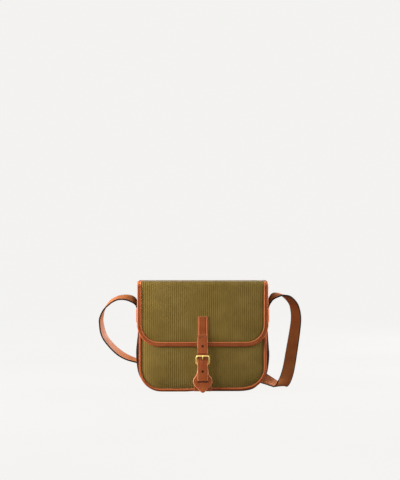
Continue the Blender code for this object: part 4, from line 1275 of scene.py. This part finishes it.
def spade_tab():
    """The tab: its upper end goes round the buckle's hinge bar, and it ends in a spade."""
    outline = smooth_line([(z * MM, x * MM) for x, z in TAB_OUTLINE], 5)
    curl = 2.85 * MM
    turned = curl * math.radians(215)
    bar = BUCKLE_AXIS

    def place(u, v, h):
        """v is height on the flat part, and goes on round the bar. h is out from the inner face."""
        inward = thick(v) - h
        angle = np.maximum(v - bar.z, 0) / curl
        y = np.where(v > bar.z, bar.y - (curl - inward) * np.cos(angle), TAB_FACE + inward)
        z = np.where(v > bar.z, bar.z + (curl - inward) * np.sin(angle), v)
        tip = np.clip((11 * MM - v) / (11 * MM), 0, 1) ** 1.6 * 2.2 * MM
        return points_at(u, y - tip, z)

    def half(v):
        return float(np.interp(v, outline[:, 0], outline[:, 1]))

    def thick(v):
        return 2.4 * MM - 1.0 * MM * ease((v - 44 * MM) / (6.3 * MM))

    def relief(u, v, d):
        dome = 0.3 * MM * ease(d / (6 * MM)) * ease((30 * MM - v) / (10 * MM))
        soft = 0.1 * MM * wobble(u, v, 0, 60, 25.0)
        return (dome - 0.9 * MM * tail_groove_and_shade(u, v) + soft) * np.where(v < 42 * MM, 1.0, 0.0)

    def tail_groove_and_shade(u, v):
        """The groove under the strap's tail and the dimple behind its last hole, from 0 to 1; as the painted_shade
        mark it also paints shade into both.
        """
        up = ease(1.25 - np.abs(v - 19.2 * MM) / (1.6 * MM))
        line = up * ease((STRAP_HALF + 0.6 * MM - np.abs(u)) / (1.2 * MM))
        return np.maximum(line, ease((2.4 * MM - np.hypot(u, v - STRAP_HOLES[1])) / (0.6 * MM)))

    rows = np.concatenate([
        0.1 * MM + MM * np.array([0, 0.25, 0.6, 1.1, 1.6]), steps(2.3 * MM, 16 * MM, 0.8 * MM)[:-1],
        steps(16 * MM, 21 * MM, 0.3 * MM)[:-1], steps(21 * MM, 44 * MM, 0.8 * MM),
        steps(44.7 * MM, bar.z + turned, 0.7 * MM),
    ])
    shape = Shape()
    # tail_groove_and_shade paints shade under the strap's tail and behind its last hole
    plate(shape, place, rows, half, thick, 1.1 * MM, relief, 45, 1.3 * MM, tail_groove_and_shade)
    piece = shape.make("spade_tab_leather", CLOSURE, "closure", "closure_leather", 50, ["spade_tab"])
    reach = 4.2 * MM
    slot = box_tool(
        "tab_slot", (-1.7 * MM, bar.y - reach, bar.z - 2.6 * MM), (1.7 * MM, bar.y + reach, bar.z + reach)
    )
    cut(piece, [slot])
    stitches = Shape()
    for side in (-1, 1):
        starts = [(side * 7.6 * MM, TAB_FACE - 0.05 * MM, z) for z in steps(34 * MM, 45 * MM, 2.8 * MM)[:-1]]
        stitches.row(starts, (0, 0, 2 * MM), (0, -1, 0), 0.26 * MM)
    stitches.make("spade_tab_stitches", THREAD, "closure", "closure_leather", 60)


def bottom_patch():
    """The patch behind the tab's tip, sewn to the front panel."""
    low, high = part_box("bottom_patch")
    half_width, inner, sewn_y = high.x, -33.1 * MM, -34.65 * MM
    seam = 1.9 * MM  # how far in from the edge it is sewn

    def place(u, v, h):
        return points_at(u, inner - h, v)

    def relief(u, v, d):
        return 0.12 * MM * ease(d / (4 * MM)) - 0.2 * MM * bell(d - seam, 0.5 * MM)

    shape = Shape()
    half = rounded_half(-1.0, high.z, half_width, 3 * MM)
    plate(shape, place, end_rows(low.z + 1.1 * MM, high.z, 1 * MM), half, 1.6 * MM, 0.6 * MM, relief, 41)
    shape.make("bottom_patch_leather", BINDING, "bag", "closure_leather", 50, ["bottom_patch"])
    stitches = Shape()
    ups = steps(4 * MM, high.z - 3 * MM, 2.9 * MM)[:-1]
    for x in (seam - half_width, half_width - seam):
        stitches.row(points_at(x, sewn_y, ups), (0, 0, 2.1 * MM), (0, -1, 0), 0.28 * MM, 0.15 * MM)
    starts = points_at(steps(3 * MM - half_width, half_width - 3 * MM, 2.9 * MM)[:-1], sewn_y, high.z - seam)
    stitches.row(starts, (2.1 * MM, 0, 0), (0, -1, 0), 0.28 * MM, 0.15 * MM)
    stitches.make("bottom_patch_stitches", THREAD, "bag", "closure_leather", 60)


def turned_disc(node, body, facing):
    """A magnet plate: chamfered, with a shallow turned ring and a dimple. facing is the side that shows."""
    low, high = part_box(node)
    middle = (low + high) / 2
    radius, half = (high.x - low.x) / 2, (high.y - low.y) / 2
    line = [
        (0.0, 0.62), (0.8, 0.62), (1.0, 1.0), (3.9, 1.0), (4.1, 0.8), (4.6, 0.8), (4.8, 1.0), (6.1, 1.0), (6.45, 0.6),
        (6.5, 0.2), (6.5, -0.6), (6.2, -1.0), (0.0, -1.0),
    ]
    angles = np.linspace(0, math.tau, 49)
    rows = []
    for r, h in line:
        r, h = r / 6.5 * radius, h * half * facing
        rows.append([(middle.x + r * math.cos(a), middle.y + h, middle.z + r * math.sin(a)) for a in angles])
    lengths = travelled(line) * MM
    uvs = [[(a * r * MM, s) for a in angles] for (r, _), s in zip(line, lengths)]
    shape = Shape()
    shape.grid(rows, uvs)
    shape.make(node + "_disc", STEEL, body, "magnet_plate", 30, [node])


def buckle_frame():
    """The frame, a smooth cast ring round the strap. Its right half is drawn and then mirrored."""
    rise = (TOP_BAR - BUCKLE_AXIS).length
    up = (TOP_BAR - BUCKLE_AXIS).normalized()
    front = up.cross(Vector((1, 0, 0)))
    if front.y > 0:
        front = -front
    half, low, high = 10.95 * MM, 1.6 * MM, 3.1 * MM
    loop, outs = [], []

    def bend(cx, cz, radius, start, end, count):
        for step in range(count + 1):
            angle = math.radians(start + (end - start) * step / count)
            loop.append((cx + radius * math.cos(angle), cz + radius * math.sin(angle)))
            outs.append((math.cos(angle), math.sin(angle)))

    bend(half - low, low, low, -90, 0, 8)
    for share in (0.25, 0.5, 0.75):
        loop.append((half, low + (rise - low - high) * share))
        outs.append((1.0, 0.0))
    bend(half - high, rise - high, high, 0, 90, 12)
    for share in (0.15, 0.3, 0.45):
        loop.append(((half - high) * (1 - 2 * share), rise))
        outs.append((0.0, 1.0))
    loop.append((0.0, rise))
    outs.append((0.0, 1.0))
    loop, outs = (side + [(-x, z) for x, z in side[-2::-1]] for side in (loop, outs))
    keep = [i for i in range(len(loop)) if i == 0 or math.dist(loop[i - 1], loop[i]) > 1e-6]
    loop, outs = [loop[i] for i in keep], [outs[i] for i in keep]
    centres = [BUCKLE_AXIS + Vector((x, 0, 0)) + up * z for x, z in loop]
    across = [Vector((x, 0, 0)) + up * z for x, z in outs]
    scale = [1.0 + 0.06 * max(0.0, min(1.0, (z - rise + 2 * MM) / (2 * MM))) for x, z in loop]
    shape = Shape()
    shape.tube(centres, across, front, ring(1.45 * MM, 1.3 * MM, 20), cyclic=True, scale=scale)
    shape.make("buckle_frame_brass", BRASS, "frame", "brass", 60, ["buckle_frame"])


PRONG_LINE = (
    (-38.75, 49.6), (-38.25, 52.0), (-37.95, 54.6), (-38.5, 56.8), (-40.6, 58.6), (-43.7, 60.2), (-45.4, 62.3),
    (-45.7, 64.6), (-45.5, 66.2),
)  # the prong's middle in the side view, in mm: from the bar up behind the strap, through it and over the top bar


def prong():
    """The prong: its eye goes round the hinge bar, and it tapers to a round tip."""
    reach = 2.2 * MM
    wrap = []
    for step in range(14):
        angle = math.radians(-70 + step * 250 / 14)
        wrap.append(BUCKLE_AXIS + Vector((0, reach * math.cos(angle), -reach * math.sin(angle))))
    centres = np.array(wrap + [Vector((0, y * MM, z * MM)) for y, z in smooth_line(PRONG_LINE, 7)])
    across = np.array([1.0, 0.0, 0.0])
    out = np.cross(unit(np.gradient(centres, axis=0)), across)
    left = travelled(centres)
    to_tip = left[-1] - left
    scale = 0.72 + 0.28 * np.clip(to_tip / (9 * MM), 0, 1)
    scale *= np.sqrt(np.clip(1 - np.clip((0.7 * MM - to_tip) / (0.75 * MM), 0, 1) ** 2, 0.02, 1))
    shape = Shape()
    shape.tube(centres, across, out, ring(1.05 * MM, 0.9 * MM, 16), scale=scale)
    shape.make("buckle_prong_brass", BRASS, "prong", "brass", 60, ["buckle_prong"])


ANCHOR_INNER = 114.7 * MM  # the anchor patches' inner face, from the middle of the bag


def strap_anchor(name, side):
    """A patch sewn to the gusset, raised over the shoulder strap's end."""
    low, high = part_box(name)
    seam = 2.0 * MM  # how far in from the edge it is sewn

    def place(u, v, h):
        return points_at(side * (ANCHOR_INNER + h), u, v)

    def relief(u, v, d):
        over = ease((13.4 * MM - np.abs(u)) / (2.2 * MM)) * ease((v - 119 * MM) / (4 * MM))
        return 1.5 * MM * over - 0.25 * MM * bell(d - seam, 0.55 * MM) * (1 - over)

    shape = Shape()
    half = rounded_half(low.z, 1.0, high.y, 2.5 * MM)
    plate(shape, place, end_rows(low.z, high.z, 0.9 * MM), half, 1.7 * MM, 0.6 * MM, relief, 61)
    shape.make(name + "_leather", BINDING, "bag", "binding_leather", 50, [name])
    stitches = Shape()
    x = side * (ANCHOR_INNER + 1.6 * MM)
    ups = steps(low.z + 3 * MM, high.z - 2 * MM, 2.9 * MM)[:-1]
    for y in (seam - high.y, high.y - seam):
        stitches.row(points_at(x, y, ups), (0, 0, 2.1 * MM), (side, 0, 0), 0.28 * MM, 0.15 * MM)
    starts = points_at(x, steps(3 * MM - high.y, high.y - 3 * MM, 2.9 * MM)[:-1], low.z + seam)
    stitches.row(starts, (0, 2.1 * MM, 0), (side, 0, 0), 0.28 * MM, 0.15 * MM)
    stitches.make(name + "_stitches", THREAD, "bag", "binding_leather", 60)


sleeve()
closure_strap()
spade_tab()
bottom_patch()
turned_disc("patch_magnet", "bag", -1)
turned_disc("tab_magnet", "closure", 1)
buckle_frame()
prong()
strap_anchor("strap_anchor_left", -1)
strap_anchor("strap_anchor_right", 1)
for material_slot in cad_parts["base_board"].material_slots:
    material_slot.material = BOARD
